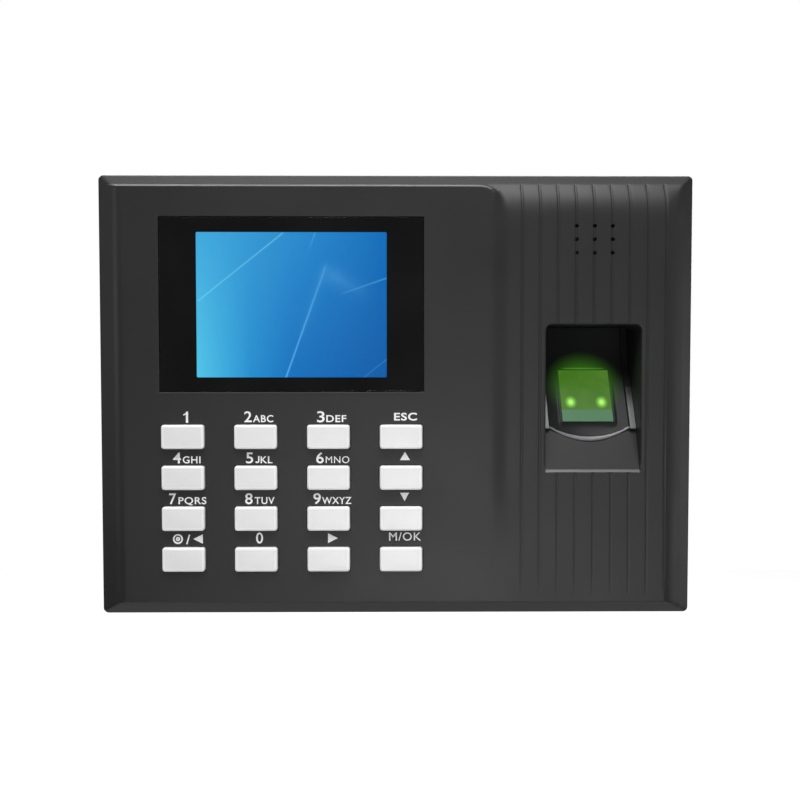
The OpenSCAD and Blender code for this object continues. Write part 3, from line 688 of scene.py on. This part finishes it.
def flared_cutter(outline, top, bottom, r, steps=5):
    """Cutter through the front wall whose sides flare out by r at the surface, so that the
    opening gets a rounded edge. outline(grow) gives the hole's outline grown on every side."""
    over = 1.2
    rings = [at_depth(outline(r), top + over)]
    for i in range(steps + 1):
        a = math.radians(90 * i / steps)
        rings.append(at_depth(outline(r * (1 - math.sin(a))), top - r + r * math.cos(a)))
    rings.append(at_depth(outline(0), bottom))
    return loft(rings)


def box_hole(x, z, w, h, r):
    return lambda grow: rounded_outline(x, z, w + 2 * grow, h + 2 * grow, r + grow)


def round_hole(x, z, r):
    return lambda grow: circle_outline(x, z, r + grow, 20)


def well_tube_block():
    """Walls of the finger well behind the front, before the well is cut through them."""
    t = 1.6
    back_d, slope_top = 16.5, 11.5
    side_view = [
        (well_bottom - t, inner_d + 0.8), (well_top + t, inner_d + 0.8), (well_top + t, back_d),
        (slope_top, back_d), (lip_z, lip_d - 1.6), (well_bottom - t, lip_d - 1),
    ]
    edges = (sensor_x - well_half - t, sensor_x + well_half + t)
    return loft([[(x, d, z) for z, d in side_view] for x in edges])


def hollow_out(cover):
    """Room inside the cover, up to the bevels and then up to the flat front."""
    wall = 2.2
    low = rounded_outline(0, 0, 2 * (half_w - wall), 2 * (half_h - wall), 1)
    low_rings = [at_depth(low, d) for d in (split_d - 1, shoulder_d - 1)]
    boolean(cover, new_object("hollow_low", *loft(low_rings)), "DIFFERENCE")
    high = ((-80, -60), (77, -60), (77, 57), (-80, 57))
    high_rings = [at_depth(high, d) for d in (shoulder_d - 2, inner_d)]
    boolean(cover, new_object("hollow_high", *loft(high_rings)), "DIFFERENCE")


def cut_openings(cover):
    """Window, key slots and speaker holes in the front, and the USB slot in the left side."""
    through = inner_d - 1.5
    wx, wz, ww, wh = face_rect(window_lo, window_hi)
    gap = 0.3
    cuts = [flared_cutter(box_hole(wx, wz, ww + gap, wh + gap, 0.5), front_d, through, 0.25)]
    gap = 0.36
    for name in KEYS:
        x, z, w, h = key_rect(name)
        cuts.append(flared_cutter(box_hole(x, z, w + gap, h + gap, 0.95), front_d, through, 0.22))
    for x, z in SPEAKER_HOLES:
        hole = round_hole(x, z, speaker_hole_r)
        cuts.append(flared_cutter(hole, rib_d - 0.3, through, 0.12, steps=3))
    usb_lo, usb_hi = node_box("usb_shell")
    gap = 0.35
    slot = (
        (usb_lo.z - gap, usb_lo.y - gap), (usb_hi.z + gap, usb_lo.y - gap),
        (usb_hi.z + gap, usb_hi.y + gap), (usb_lo.z - gap, usb_hi.y + gap),
    )
    cuts.append(loft([[(x, d, z) for z, d in slot] for x in (-half_w - 1, -half_w + 2.6)]))
    boolean(cover, new_object("openings", *join_parts(cuts)), "DIFFERENCE")


step_top, step_bottom = well_bottom, well_bottom - 1.1   # shallow step at the well's foot


def cut_finger_well(cover):
    """Straight walls down to the trough, a rounded mouth, and a shallow step at the foot."""
    mouth_z, mouth_h = (well_bottom + well_top) / 2, well_top - well_bottom
    mouth = box_hole(sensor_x, mouth_z, 2 * well_half, mouth_h, well_r)
    cutter = flared_cutter(mouth, rib_d, rib_d - 0.85, 0.5)
    boolean(cover, new_object("well_mouth", *cutter), "DIFFERENCE")

    deep_z, deep_h = (lip_z + well_top) / 2, well_top - lip_z
    corners = rounded_outline(sensor_x, deep_z, 2 * well_half, deep_h, well_r * 0.9)
    arc = spread(sensor_x - well_half, sensor_x + well_half, 28)
    outline = [(x, z) for x, z in corners if z > 0] + [(x, lip_line(x) - 0.05) for x in arc]
    cutter = loft([at_depth(outline, d) for d in (front_d - 0.9, 12)])
    boolean(cover, new_object("well_deep", *cutter), "DIFFERENCE")

    side_view = (
        (step_bottom, front_d + 1), (step_bottom, rib_d + 0.02), (step_top - 0.92, rib_d - 0.06),
        (step_top - 0.1, rib_d - 0.8), (lip_z + 4, lip_d - 1.9), (lip_z + 4, front_d + 1),
    )
    edges = (sensor_x - well_half, sensor_x + well_half)
    cutter = loft([[(x, d, z) for z, d in side_view] for x in edges])
    boolean(cover, new_object("well_foot", *cutter), "DIFFERENCE")


def front_cover():
    cover = front_shell()
    hollow_out(cover)
    boolean(cover, new_object("well_block", *well_tube_block()), "UNION")
    cut_openings(cover)
    cut_finger_well(cover)

    set_material(cover, M["case_front"])
    # Upward facets of the shallow step at the well's foot get a lighter colour as a painted
    # highlight, and a glossier finish.
    step_highlight = surface("case_step_painted_highlight", (0.03, 0.03, 0.032), (0.042, 0.042, 0.044), (0.34, 0.42),
                     grain_mm=0.28, grain_depth=0.004, specular=0.6)
    cover.data.materials.append(step_highlight)
    for poly in cover.data.polygons:
        c, n = poly.center / MM, poly.normal
        on_step = step_bottom < c.z < step_top and abs(c.x - sensor_x) < well_half + 0.01
        if on_step and n.z > 0.45 and n.y < -0.5:
            poly.material_index = 1
    shade(cover, 19)
    weighted_normals(cover)
    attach(cover, "terminal")
    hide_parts("front_cover")


# ---------- display ----------

def display():
    """Clear window with a black printed border behind it, over the lit panel."""
    wx, wz, ww, wh = face_rect(window_lo, window_hi)
    back, front = window_lo.y, window_hi.y
    corner_r, edge, ink_t = 0.5, 0.25, 0.12
    rings = []
    for d, inset in (
        (back + ink_t, 0.0), (front - edge, 0.0), (front - edge * 0.4, edge * 0.35), (front, edge),
    ):
        outline = rounded_outline(wx, wz, ww - 2 * inset, wh - 2 * inset, corner_r)
        rings.append(at_depth(outline, d))
    pane = new_object("window_pane", *loft(rings), material=glass_clear(), body="terminal",
                      smooth_angle=30)
    weighted_normals(pane)
    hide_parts("display_window")

    outer = rounded_outline(wx, wz, ww, wh, corner_r)
    lit_x, lit_z = (lit_left + lit_right) / 2, (lit_bottom + lit_top) / 2
    inner = rounded_outline(lit_x, lit_z, lit_w, lit_h, 0.4)
    rings = [
        at_depth(outer, back), at_depth(outer, back + ink_t),
        at_depth(inner, back + ink_t), at_depth(inner, back),
    ]
    border = new_object("window_border", *loft(rings, closed=True), material=border_material(),
                        body="terminal")
    set_material(NODES["lcd_panel"], screen_picture())


# ---------- keys ----------

def key_cap(name):
    """Key cap with softly rounded edges and a slightly crowned face."""
    x, z, w, h = key_rect(name)
    lo, hi = node_box(name)
    top = hi.y
    r, crown, corner_r = 0.55, 0.06, 0.8
    flange_t = 0.88
    flange = rounded_outline(x, z, w + 2 * key_flange, h + 2 * key_flange, 1.0)
    rings = [
        at_depth(flange, lo.y), at_depth(flange, lo.y + flange_t),
        at_depth(rounded_outline(x, z, w, h, corner_r), lo.y + flange_t + 0.02),
    ]
    rim_from = (len(rings) - 1) * len(flange)
    for i in range(6):
        a = math.radians(90 * i / 5)
        inset = r * (1 - math.cos(a))
        outline = rounded_outline(x, z, w - 2 * inset, h - 2 * inset, corner_r - inset * 0.6)
        rings.append(at_depth(outline, top - crown - r + r * math.sin(a)))
    rim = r + 0.3
    face = rounded_outline(x, z, w - 2 * rim, h - 2 * rim, 0.3)
    rings.append(at_depth(face, top - crown))
    rim_to = len(rings) * len(flange)
    for k in (0.75, 0.5, 0.25):
        smaller = [(x + (px - x) * k, z + (pz - z) * k) for px, pz in face]
        rings.append(at_depth(smaller, top - crown * k * k))
    cap = new_object(name + "_cap", *loft(rings), material=M["key_silver"], body=name,
                     smooth_angle=50)
    # The rounded rim gets the lighter copy of the key paint: painted highlight along the cap's
    # edges.
    cap.data.materials.append(M["key_rim_painted_highlight"])
    for poly in cap.data.polygons:
        corners = poly.vertices
        if len(corners) == 4 and rim_from <= min(corners) and max(corners) < rim_to:
            poly.material_index = 1
    weighted_normals(cap)
    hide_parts(name)


# ---------- legends ----------

FONT_RATIO = 0.729      # height of a capital as a share of the text size in Blender's own font
print_t = 0.012         # half the thickness of the print
legend_d = front_d + 0.03


def text_mesh(string, x, z, height, width, weight):
    """Legend on the front: left edge at x, foot 0.2 above z, capitals height tall, stretched to
    width, and its strokes widened by weight on each side."""
    curve = bpy.data.curves.new("legend", "FONT")
    curve.body = string
    curve.size = height * MM / FONT_RATIO
    curve.offset = weight * MM
    curve.space_character = 1.1
    curve.extrude = print_t * MM
    curve.resolution_u = 6
    obj = bpy.data.objects.new("legend", curve)
    bpy.context.scene.collection.objects.link(obj)
    bpy.context.view_layer.update()
    mesh = mesh_of(obj)
    bpy.data.objects.remove(obj)
    bpy.data.curves.remove(curve)
    xs = [v.co.x for v in mesh.vertices]
    stretch = width * MM / (max(xs) - min(xs))
    verts = [
        (x + (v.co.x - min(xs)) * stretch / MM, legend_d + v.co.z / MM, z + 0.2 + v.co.y / MM)
        for v in mesh.vertices
    ]
    return verts, [tuple(p.vertices) for p in mesh.polygons]


def flat_shape(outline):
    """Thin printed shape from its outline."""
    return loft([at_depth(outline, legend_d - print_t), at_depth(outline, legend_d + print_t)])


def one_shape(x, z, height):
    """Figure 1 with a slanted flag."""
    w, stem = height * 0.42, height * 0.2
    return flat_shape([
        (x + w - stem, z), (x + w, z), (x + w, z + height), (x + w - stem * 0.75, z + height),
        (x + w * 0.45, z + height * 0.84), (x, z + height * 0.76), (x, z + height * 0.62),
        (x + w - stem, z + height * 0.74),
    ])


def j_shape(x, z, height):
    """Capital J standing on the line."""
    w, stem = height * 0.62, height * 0.2
    r = w / 2

    def arc(radius, start, end):
        angles = [math.radians(v) for v in spread(start, end, 8)]
        return [(x + r + radius * math.cos(a), z + r + radius * math.sin(a)) for a in angles]

    ends = [(x + w, z + height), (x + w - stem, z + height)]
    return flat_shape(ends + arc(r - stem, 0, -160) + arc(r, -160, 0))


def ring_shape(x, z, outer, inner):
    sides = ((outer, -print_t), (outer, print_t), (inner, print_t), (inner, -print_t))
    rings = [at_depth(circle_outline(x, z, r, 32), legend_d + t) for r, t in sides]
    return loft(rings, closed=True)


# Places on the front are offsets from the middle of the key below.
# Key: digit, its left edge and width, letters, their left edge and width, baseline of both
DIGITS = {
    "key_2": ("2", -3.45, 2.25, "ABC", -0.85, 6.05, 4.2),
    "key_3": ("3", -3.4, 2.25, "DEF", -0.65, 5.95, 4.2),
    "key_4": ("4", -3.1, 2.4, "GHI", -0.2, 5.3, 4.15),
    "key_5": ("5", -3.0, 2.15, "KL", 1.35, 3.55, 4.15),
    "key_6": ("6", -3.7, 2.25, "MNO", -0.85, 7.05, 4.15),
    "key_7": ("7", -4.35, 2.1, "PQRS", -1.6, 8.35, 4.15),
    "key_8": ("8", -3.35, 2.25, "TUV", -0.5, 5.95, 4.15),
    "key_9": ("9", -4.6, 2.25, "WXYZ", -2.0, 8.8, 4.15),
    "key_0": ("0", -0.15, 2.1, "", 0, 0, 4.55),
}
# Key: word, left edge, baseline, height, width, weight
WORDS = {
    "key_esc": ("ESC", -2.1, 4.7, 2.3, 6.85, 0.08),
    "key_ok": ("M/OK", -3.6, 5.3, 2.55, 9.6, 0.02),
}
# Key: outlines of its arrow and of any other flat mark
MARKS = {
    "key_up": [((-0.35, 5.2), (2.7, 5.2), (1.17, 7.7))],
    "key_down": [((-0.3, 7.65), (1.05, 5.15), (2.4, 7.65))],
    "key_right": [((-0.25, 4.75), (2.7, 6.25), (-0.25, 7.75))],
    "key_left": [
        ((5.6, 4.6), (5.6, 7.5), (2.7, 6.05)),
        ((0.55, 4.5), (1.0, 4.5), (1.85, 7.4), (1.4, 7.4)),
    ],
}


def legend_parts(key):
    """Printed shapes above one key."""
    digit_h, letter_h = 3.35, 2.15
    x, z, _, _ = key_rect(key)
    parts = []
    if key == "key_1":
        parts.append(one_shape(x + 0.1, z + 4.2, digit_h))
    if key in DIGITS:
        digit, digit_x, digit_w, letters, letters_x, letters_w, base = DIGITS[key]
        parts.append(text_mesh(digit, x + digit_x, z + base, digit_h, digit_w, 0.06))
        if letters:
            weight = 0.0 if "M" in letters else 0.045
            left = x + letters_x
            parts.append(text_mesh(letters, left, z + base, letter_h, letters_w, weight))
    if key == "key_5":
        parts.append(j_shape(x - 0.3, z + 4.35, letter_h))
    if key in WORDS:
        word, left, base, height, width, weight = WORDS[key]
        parts.append(text_mesh(word, x + left, z + base, height, width, weight))
    for outline in MARKS.get(key, []):
        parts.append(flat_shape([(x + px, z + pz) for px, pz in outline]))
    if key == "key_left":
        for outer, inner in ((1.52, 1.02), (0.66, 0.16)):
            parts.append(ring_shape(x - 1.85, z + 6.05, outer, inner))
    return parts


def legends():
    """White legends above the keys."""
    ink = ink_material()
    for key in KEYS:
        parts = join_parts(legend_parts(key))
        obj = new_object("legend_" + key, *parts, material=ink, body="terminal")


# ---------- finger sensor ----------

prism_half = (prism_hi.x - prism_lo.x) / 2
glass_top = prism_hi.z            # upper end of the glass seen from the front
glass_bottom = -7.9
rail_w = 2.1                      # raised sides of the trough
hollow_half = trough_half - rail_w
stop_z = 9.6                      # where the trough turns up to stop the fingertip


def lip_line(x):
    """Height of the trough's lower lip: lowest in the middle, level across the side rails."""
    t = min(abs(x - sensor_x) / hollow_half, 1)
    return lip_z - 1.0 + 3.9 * t * t


def glass_plane(z):
    return lip_d - slope * (z - lip_z)


def trough_depth(x, z):
    """Front surface of the trough: a shallow hollow along the slope with raised sides, a small
    bead round the glass, and an upturned end that stops the fingertip."""
    dx = abs(x - sensor_x)
    t = min(dx / hollow_half, 1)
    d = glass_plane(z) + 1.5 * (t * t - 0.42)
    d += 0.8 * smooth((dx - hollow_half) / 0.5)
    if z > stop_z:
        bend = min(z - stop_z, 4.4)
        d += 0.0485 * bend ** 2 + 0.427 * (z - stop_z - bend)
    # bead round the glass
    off_x = max(dx - (prism_half + 0.1), 0)
    off_z = max(z - glass_top - 0.1, glass_bottom - z, 0)
    near = math.hypot(off_x, off_z)
    if near < 1.3:
        d += 0.4 * (1 - smooth((near - 0.25) / 1.0))
    # thick rounded lip
    edge = z - lip_line(x)
    bead_r = lerp(0.34, 0.85, 1 - t * t)
    if edge < 2.2 * bead_r:
        k = clamp(edge / (2 * bead_r))
        d += 0.4 * bead_r * math.sqrt(max(1 - (2 * k - 1) ** 2, 0))
        if edge < bead_r:
            d -= 0.5 * bead_r * (1 - edge / bead_r) ** 2
    return d


def trough_material():
    """Black plastic, with the light that the sensor lamps throw on it round the glass."""
    mat = surface("trough_black", (0.014, 0.0145, 0.015), (0.018, 0.0185, 0.0195), (0.26, 0.34),
                  grain_mm=0.6, grain_depth=0.002, specular=0.09)
    tree = mat.node_tree
    place = axes(tree)
    off_x = offset_in(tree, place["X"], sensor_x - 0.2, 13.0)
    off_z = offset_in(tree, place["Z"], 3.0, 11.0)
    halo = maths(tree, "POWER", one_minus(tree, hypotenuse(tree, off_x, off_z)), 1.5)
    # painted highlight: thin bright line of the lamps' green light on the edge above the glass
    off_z = maths(tree, "ABSOLUTE", offset_in(tree, place["Z"], glass_top + 0.55, 0.3))
    off_x = maths(tree, "ABSOLUTE", offset_in(tree, place["X"], sensor_x, 1.0))
    along = maths(tree, "DIVIDE", maths(tree, "SUBTRACT", 7.2, off_x), 1.5, clamped=True)
    painted_edge_highlight = product(tree, one_minus(tree, off_z), along, 0.4)
    amount = maths(tree, "ADD", halo, painted_edge_highlight)
    green = ramp(tree, amount, [(0.0, 0.0), (0.6, (0.045, 0.19, 0.012)), (1.0, (0.09, 0.36, 0.06))])
    emit(tree, tree.nodes["Principled BSDF"], green)
    return mat


def lip_highlight_material():
    """Light grey on the lip and the lower side rails as a painted highlight, going black towards
    the top of the rails as painted shade.
    """
    mat = surface("trough_lip_painted_highlight", (0.125, 0.129, 0.135), (0.165, 0.169, 0.176), (0.32, 0.42),
                  grain_mm=0.4, grain_depth=0.003)
    tree = mat.node_tree
    colour = tree.nodes["Principled BSDF"].inputs["Base Color"]
    # painted shade: the grey turns black from z -4.5 up to z 1
    height = offset_in(tree, axes(tree)["Z"], -4.5, 5.5, clamped=True)
    shaded_towards_top = mix_colour(tree, height, colour.links[0].from_socket, (0.012, 0.0125, 0.013))
    tree.links.new(shaded_towards_top, colour)
    return mat


def trough():
    """Glossy trough with raised sides and a thick rounded lower lip, open round the glass."""
    hole_x = prism_half + 0.1
    hole_top = glass_top + 0.1

    def both_sides(a, b, n):
        return [sensor_x + s * v for s in (-1, 1) for v in spread(a, b, n)]

    xs = merged(
        both_sides(trough_half - 0.25, trough_half, 3),
        both_sides(hollow_half - 0.1, hollow_half + 0.6, 8),
        both_sides(hole_x, hole_x + 1.4, 6),
        spread(sensor_x - hole_x, sensor_x + hole_x, 14),
        both_sides(hole_x + 1.4, hollow_half - 0.1, 4),
    )
    low_rows = [0, 0.03, 0.07, 0.12, 0.18, 0.25, 0.33, 0.42, 0.54, 0.68, 0.84]
    high_rows = merged(
        spread(glass_bottom, hole_top, 12), spread(hole_top, glass_top + 1.5, 6),
        spread(glass_top + 1.5, well_top - 0.2, 22),
    )
    rows = [[(x, lerp(lip_line(x), glass_bottom, k)) for x in xs] for k in low_rows]
    rows += [[(x, z) for x in xs] for z in high_rows]
    points = [point for row in rows for point in row]
    thickness = 1.6
    front = [(x, trough_depth(x, z), z) for x, z in points]
    back = [(x, min(d, glass_plane(z) + 6) - thickness, z) for x, d, z in front]

    nx, nz = len(xs), len(rows)

    def open_cell(i, j):
        x = (xs[i] + xs[i + 1]) / 2
        z = (rows[j][i][1] + rows[j + 1][i][1]) / 2
        return abs(x - sensor_x) < hole_x and glass_bottom < z < hole_top

    base = len(front)
    solid = {(i, j) for i in range(nx - 1) for j in range(nz - 1) if not open_cell(i, j)}
    faces = []
    for i, j in solid:
        a, b, c, d = j * nx + i, j * nx + i + 1, (j + 1) * nx + i + 1, (j + 1) * nx + i
        faces += [(a, b, c, d), (base + d, base + c, base + b, base + a)]
        for p, q, other in (
            (a, b, (i, j - 1)), (b, c, (i + 1, j)), (c, d, (i, j + 1)), (d, a, (i - 1, j)),
        ):
            if other not in solid:
                faces.append((p, q, base + q, base + p))
    obj = new_object("finger_trough", front + back, faces, material=trough_material(),
                     body="terminal", smooth_angle=50)
    # Lip and lower rails take the light grey material: painted highlight, turning to painted shade
    # up the rails.
    obj.data.materials.append(lip_highlight_material())
    for poly in obj.data.polygons:
        c = poly.center / MM
        off = abs(c.x - sensor_x)
        t = min(off / hollow_half, 1)
        on_lip = c.z - lip_line(c.x) < lerp(0.7, 1.4, 1 - t * t) and off < hollow_half + 0.5
        on_rail = off > hollow_half + 0.35 and c.z < 3.0
        if on_lip or on_rail:
            poly.material_index = 1
    weighted_normals(obj)
    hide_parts("sensor_bezel")


def glass_material():
    """Lit glass: even green, two bright lamps near its foot, and a pale strip below them."""
    mat, tree, bsdf = new_material("sensor_glass_lit")
    place = axes(tree)
    cloud = noise(tree, object_coords(tree), 6, detail=3)
    col = ramp(tree, cloud, [(0.3, (0.050, 0.165, 0.012)), (0.7, (0.078, 0.195, 0.026))])
    strip_edge, lamp_x, lamp_z, lamp_reach = -4.2, 4.8, -2.1, 2.3
    strip = offset_in(tree, place["Z"], strip_edge, -0.35, clamped=True)
    col = mix_colour(tree, strip, col, (0.085, 0.20, 0.105))
    for side in (-1, 1):
        off_x = offset_in(tree, place["X"], sensor_x + side * lamp_x, lamp_reach)
        off_z = offset_in(tree, place["Z"], lamp_z, lamp_reach)
        near = one_minus(tree, hypotenuse(tree, off_x, off_z))
        amount = product(tree, product(tree, near, near), 1.6, clamped=True)
        col = mix_colour(tree, amount, col, (0.40, 0.98, 0.14))
    emit(tree, bsdf, col)
    bsdf.inputs["Base Color"].default_value = (0.002, 0.006, 0.002, 1)
    tree.links.new(ramp(tree, cloud, [(0.3, 0.22), (0.7, 0.3)]), bsdf.inputs["Roughness"])
    bsdf.inputs["Specular IOR Level"].default_value = 0.05
    return mat


def lamp_material():
    mat, tree, bsdf = new_material("lamp_green")
    glow = noise(tree, object_coords(tree), 0.8)
    green = ramp(tree, glow, [(0.3, (0.3, 0.9, 0.1)), (0.7, (0.5, 1.0, 0.25))])
    emit(tree, bsdf, green, 1.5)
    return mat


# ---------- silicone mat under the keys ----------

def keypad_mat():
    """Base sheet, and a dome of fixed shape under each key; on the real pad the dome flattens when
    the key is pressed.
    """
    lo, hi = node_box("keypad_mat")
    cx, cz, w, h = face_rect(lo, hi)
    sheet_front = lo.y + 1.0
    edge = 0.15
    rings = []
    for d, inset in (
        (lo.y, edge), (lo.y + edge, 0), (sheet_front - edge, 0), (sheet_front, edge),
    ):
        rings.append(at_depth(rounded_outline(cx, cz, w - 2 * inset, h - 2 * inset, 2), d))
    web = new_object("keypad_web", *loft(rings), material=M["silicone_grey"], body="terminal",
                     smooth_angle=50)
    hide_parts("keypad_mat")

    dome_foot = sheet_front + 0.01
    for name in KEYS:
        x, z, key_w, key_h = key_rect(name)
        dome_top = node_box(name)[0].y - 0.01
        rings = []
        for t in spread(0, 1, 6):
            inset = 1.2 + 0.8 * smooth(t)
            outline = rounded_outline(x, z, key_w - 2 * inset, key_h - 1.4 * inset, 1.0)
            rings.append(at_depth(outline, lerp(dome_foot, dome_top, t)))
        dome = new_object("dome_" + name, *loft(rings), material=M["silicone_grey"],
                          body="terminal", smooth_angle=50)
        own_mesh(dome)


# ---------- CAD nodes that stay ----------

def cad_materials():
    """Every CAD node that stays and whose slot has a material here gets that material; all but a
    few thin or flexible parts also get softened edges.
    """
    skip_bevel = {"lcd_panel", "window_adhesive", "lcd_flex", "sensor_cable", "lcd_foam"}
    large = {"rear_cover", "wall_bracket"}
    for sub in frame["record"]["subparts"]:
        name = sub["node"]
        obj = NODES[name]
        mat = M.get(sub["material_slot"])
        if mat is None or obj.hide_render:
            continue
        set_material(obj, mat)
        if name in skip_bevel:
            continue
        flat = obj.modifiers.new("flat", "DECIMATE")
        flat.decimate_type = "DISSOLVE"
        flat.angle_limit = math.radians(1)
        bevel(obj, 0.25 if name in large else 0.12)
        for p in obj.data.polygons:
            p.use_smooth = True
        weighted_normals(obj)


# ---------- studio ----------

# Soft lights: name, place, aim, size, power in watts
LIGHTS = (
    ("overhead", (-20, 125, 515), (0, 20, 0), (460, 400), 2.3),
    ("high_front", (0, 300, 450), (0, 20, 0), (460, 220), 1.9),
    ("front_left", (-520, 560, 160), (0, 20, 0), (380, 420), 0.15),
    ("front_right", (620, 380, 120), (0, 20, 0), (300, 420), 0.3),
    ("side_right", (620, -40, -60), (0, 20, 0), (320, 320), 0.36),
    ("side_left", (-620, 100, 60), (0, 20, 0), (320, 320), 0.38),
    ("low_right", (110, 640, -190), (30, 30, -30), (300, 200), 0.95),
    ("low_middle", (-60, 640, -110), (0, 30, -20), (240, 120), 0.28),
    ("low_front", (0, 60, -250), (0, 30, -60), (600, 120), 0.36),
    ("under", (0, -150, -245), (0, 30, -60), (600, 240), 0.08),
    ("high_behind", (-20, -420, 310), (0, 30, 60), (560, 300), 2.7),
    ("behind", (300, -520, 60), (0, 30, 0), (360, 360), 2.2),
)
floor_z = -260
floor_half = 900


def place_object(name, data, at):
    obj = bpy.data.objects.new(name, data)
    bpy.context.scene.collection.objects.link(obj)
    obj.location = mm(*at)
    obj.rotation_mode = "QUATERNION"
    return obj


def area_light(name, at, look, size, power):
    light = bpy.data.lights.new(name, "AREA")
    light.shape = "RECTANGLE"
    light.size, light.size_y = size[0] * MM, size[1] * MM
    light.energy = power
    obj = place_object(name, light, at)
    obj.visible_camera = False
    obj.rotation_quaternion = (mm(*look) - mm(*at)).to_track_quat("-Z", "Y")


def surroundings():
    """White to the camera, and a weak even light for the object."""
    world = bpy.data.worlds.new("studio")
    bpy.context.scene.world = world
    world.use_nodes = True
    tree = world.node_tree
    tree.nodes.clear()
    path = tree.nodes.new("ShaderNodeLightPath")
    mix = tree.nodes.new("ShaderNodeMixShader")
    tree.links.new(path.outputs["Is Camera Ray"], mix.inputs[0])
    for slot_index, strength in ((1, 0.06), (2, 1.0)):
        background = tree.nodes.new("ShaderNodeBackground")
        background.inputs["Color"].default_value = (1, 1, 1, 1)
        background.inputs["Strength"].default_value = strength
        tree.links.new(background.outputs[0], mix.inputs[slot_index])
    out = tree.nodes.new("ShaderNodeOutputWorld")
    tree.links.new(mix.outputs[0], out.inputs["Surface"])


def pale_floor():
    mat, tree, bsdf = new_material("floor_pale")
    cloud = noise(tree, object_coords(tree), 300)
    tree.links.new(ramp(tree, cloud, [(0.3, 0.88), (0.7, 0.92)]), bsdf.inputs["Base Color"])
    bsdf.inputs["Roughness"].default_value = 0.7
    bsdf.inputs["Emission Color"].default_value = (1, 1, 1, 1)
    bsdf.inputs["Emission Strength"].default_value = 0.85
    corners = [
        (x * floor_half, d * floor_half, floor_z) for x, d in ((-1, 1), (1, 1), (1, -1), (-1, -1))
    ]
    floor = new_object("floor", corners, [(0, 1, 2, 3)], material=mat)
    floor.visible_diffuse = False
    floor.visible_glossy = False


def camera():
    cam = bpy.data.cameras.new("camera")
    cam.sensor_width = 36
    cam.lens = 42.75
    cam.clip_start = 0.01
    cam.clip_end = 50
    obj = place_object("camera", cam, (-1.43, 319.76, 10.57))
    obj.rotation_quaternion = Vector((0.0088, 0.9991, -0.0406)).to_track_quat("-Z", "Y")
    bpy.context.scene.camera = obj


M["sensor_glass"] = glass_material()
M["lamp_green"] = lamp_material()
front_cover()
display()
for key_name in KEYS:
    key_cap(key_name)
legends()
keypad_mat()
trough()
cad_materials()
for light_row in LIGHTS:
    area_light(*light_row)
surroundings()
pale_floor()
camera()
bpy.context.scene.view_settings.view_transform = "Standard"
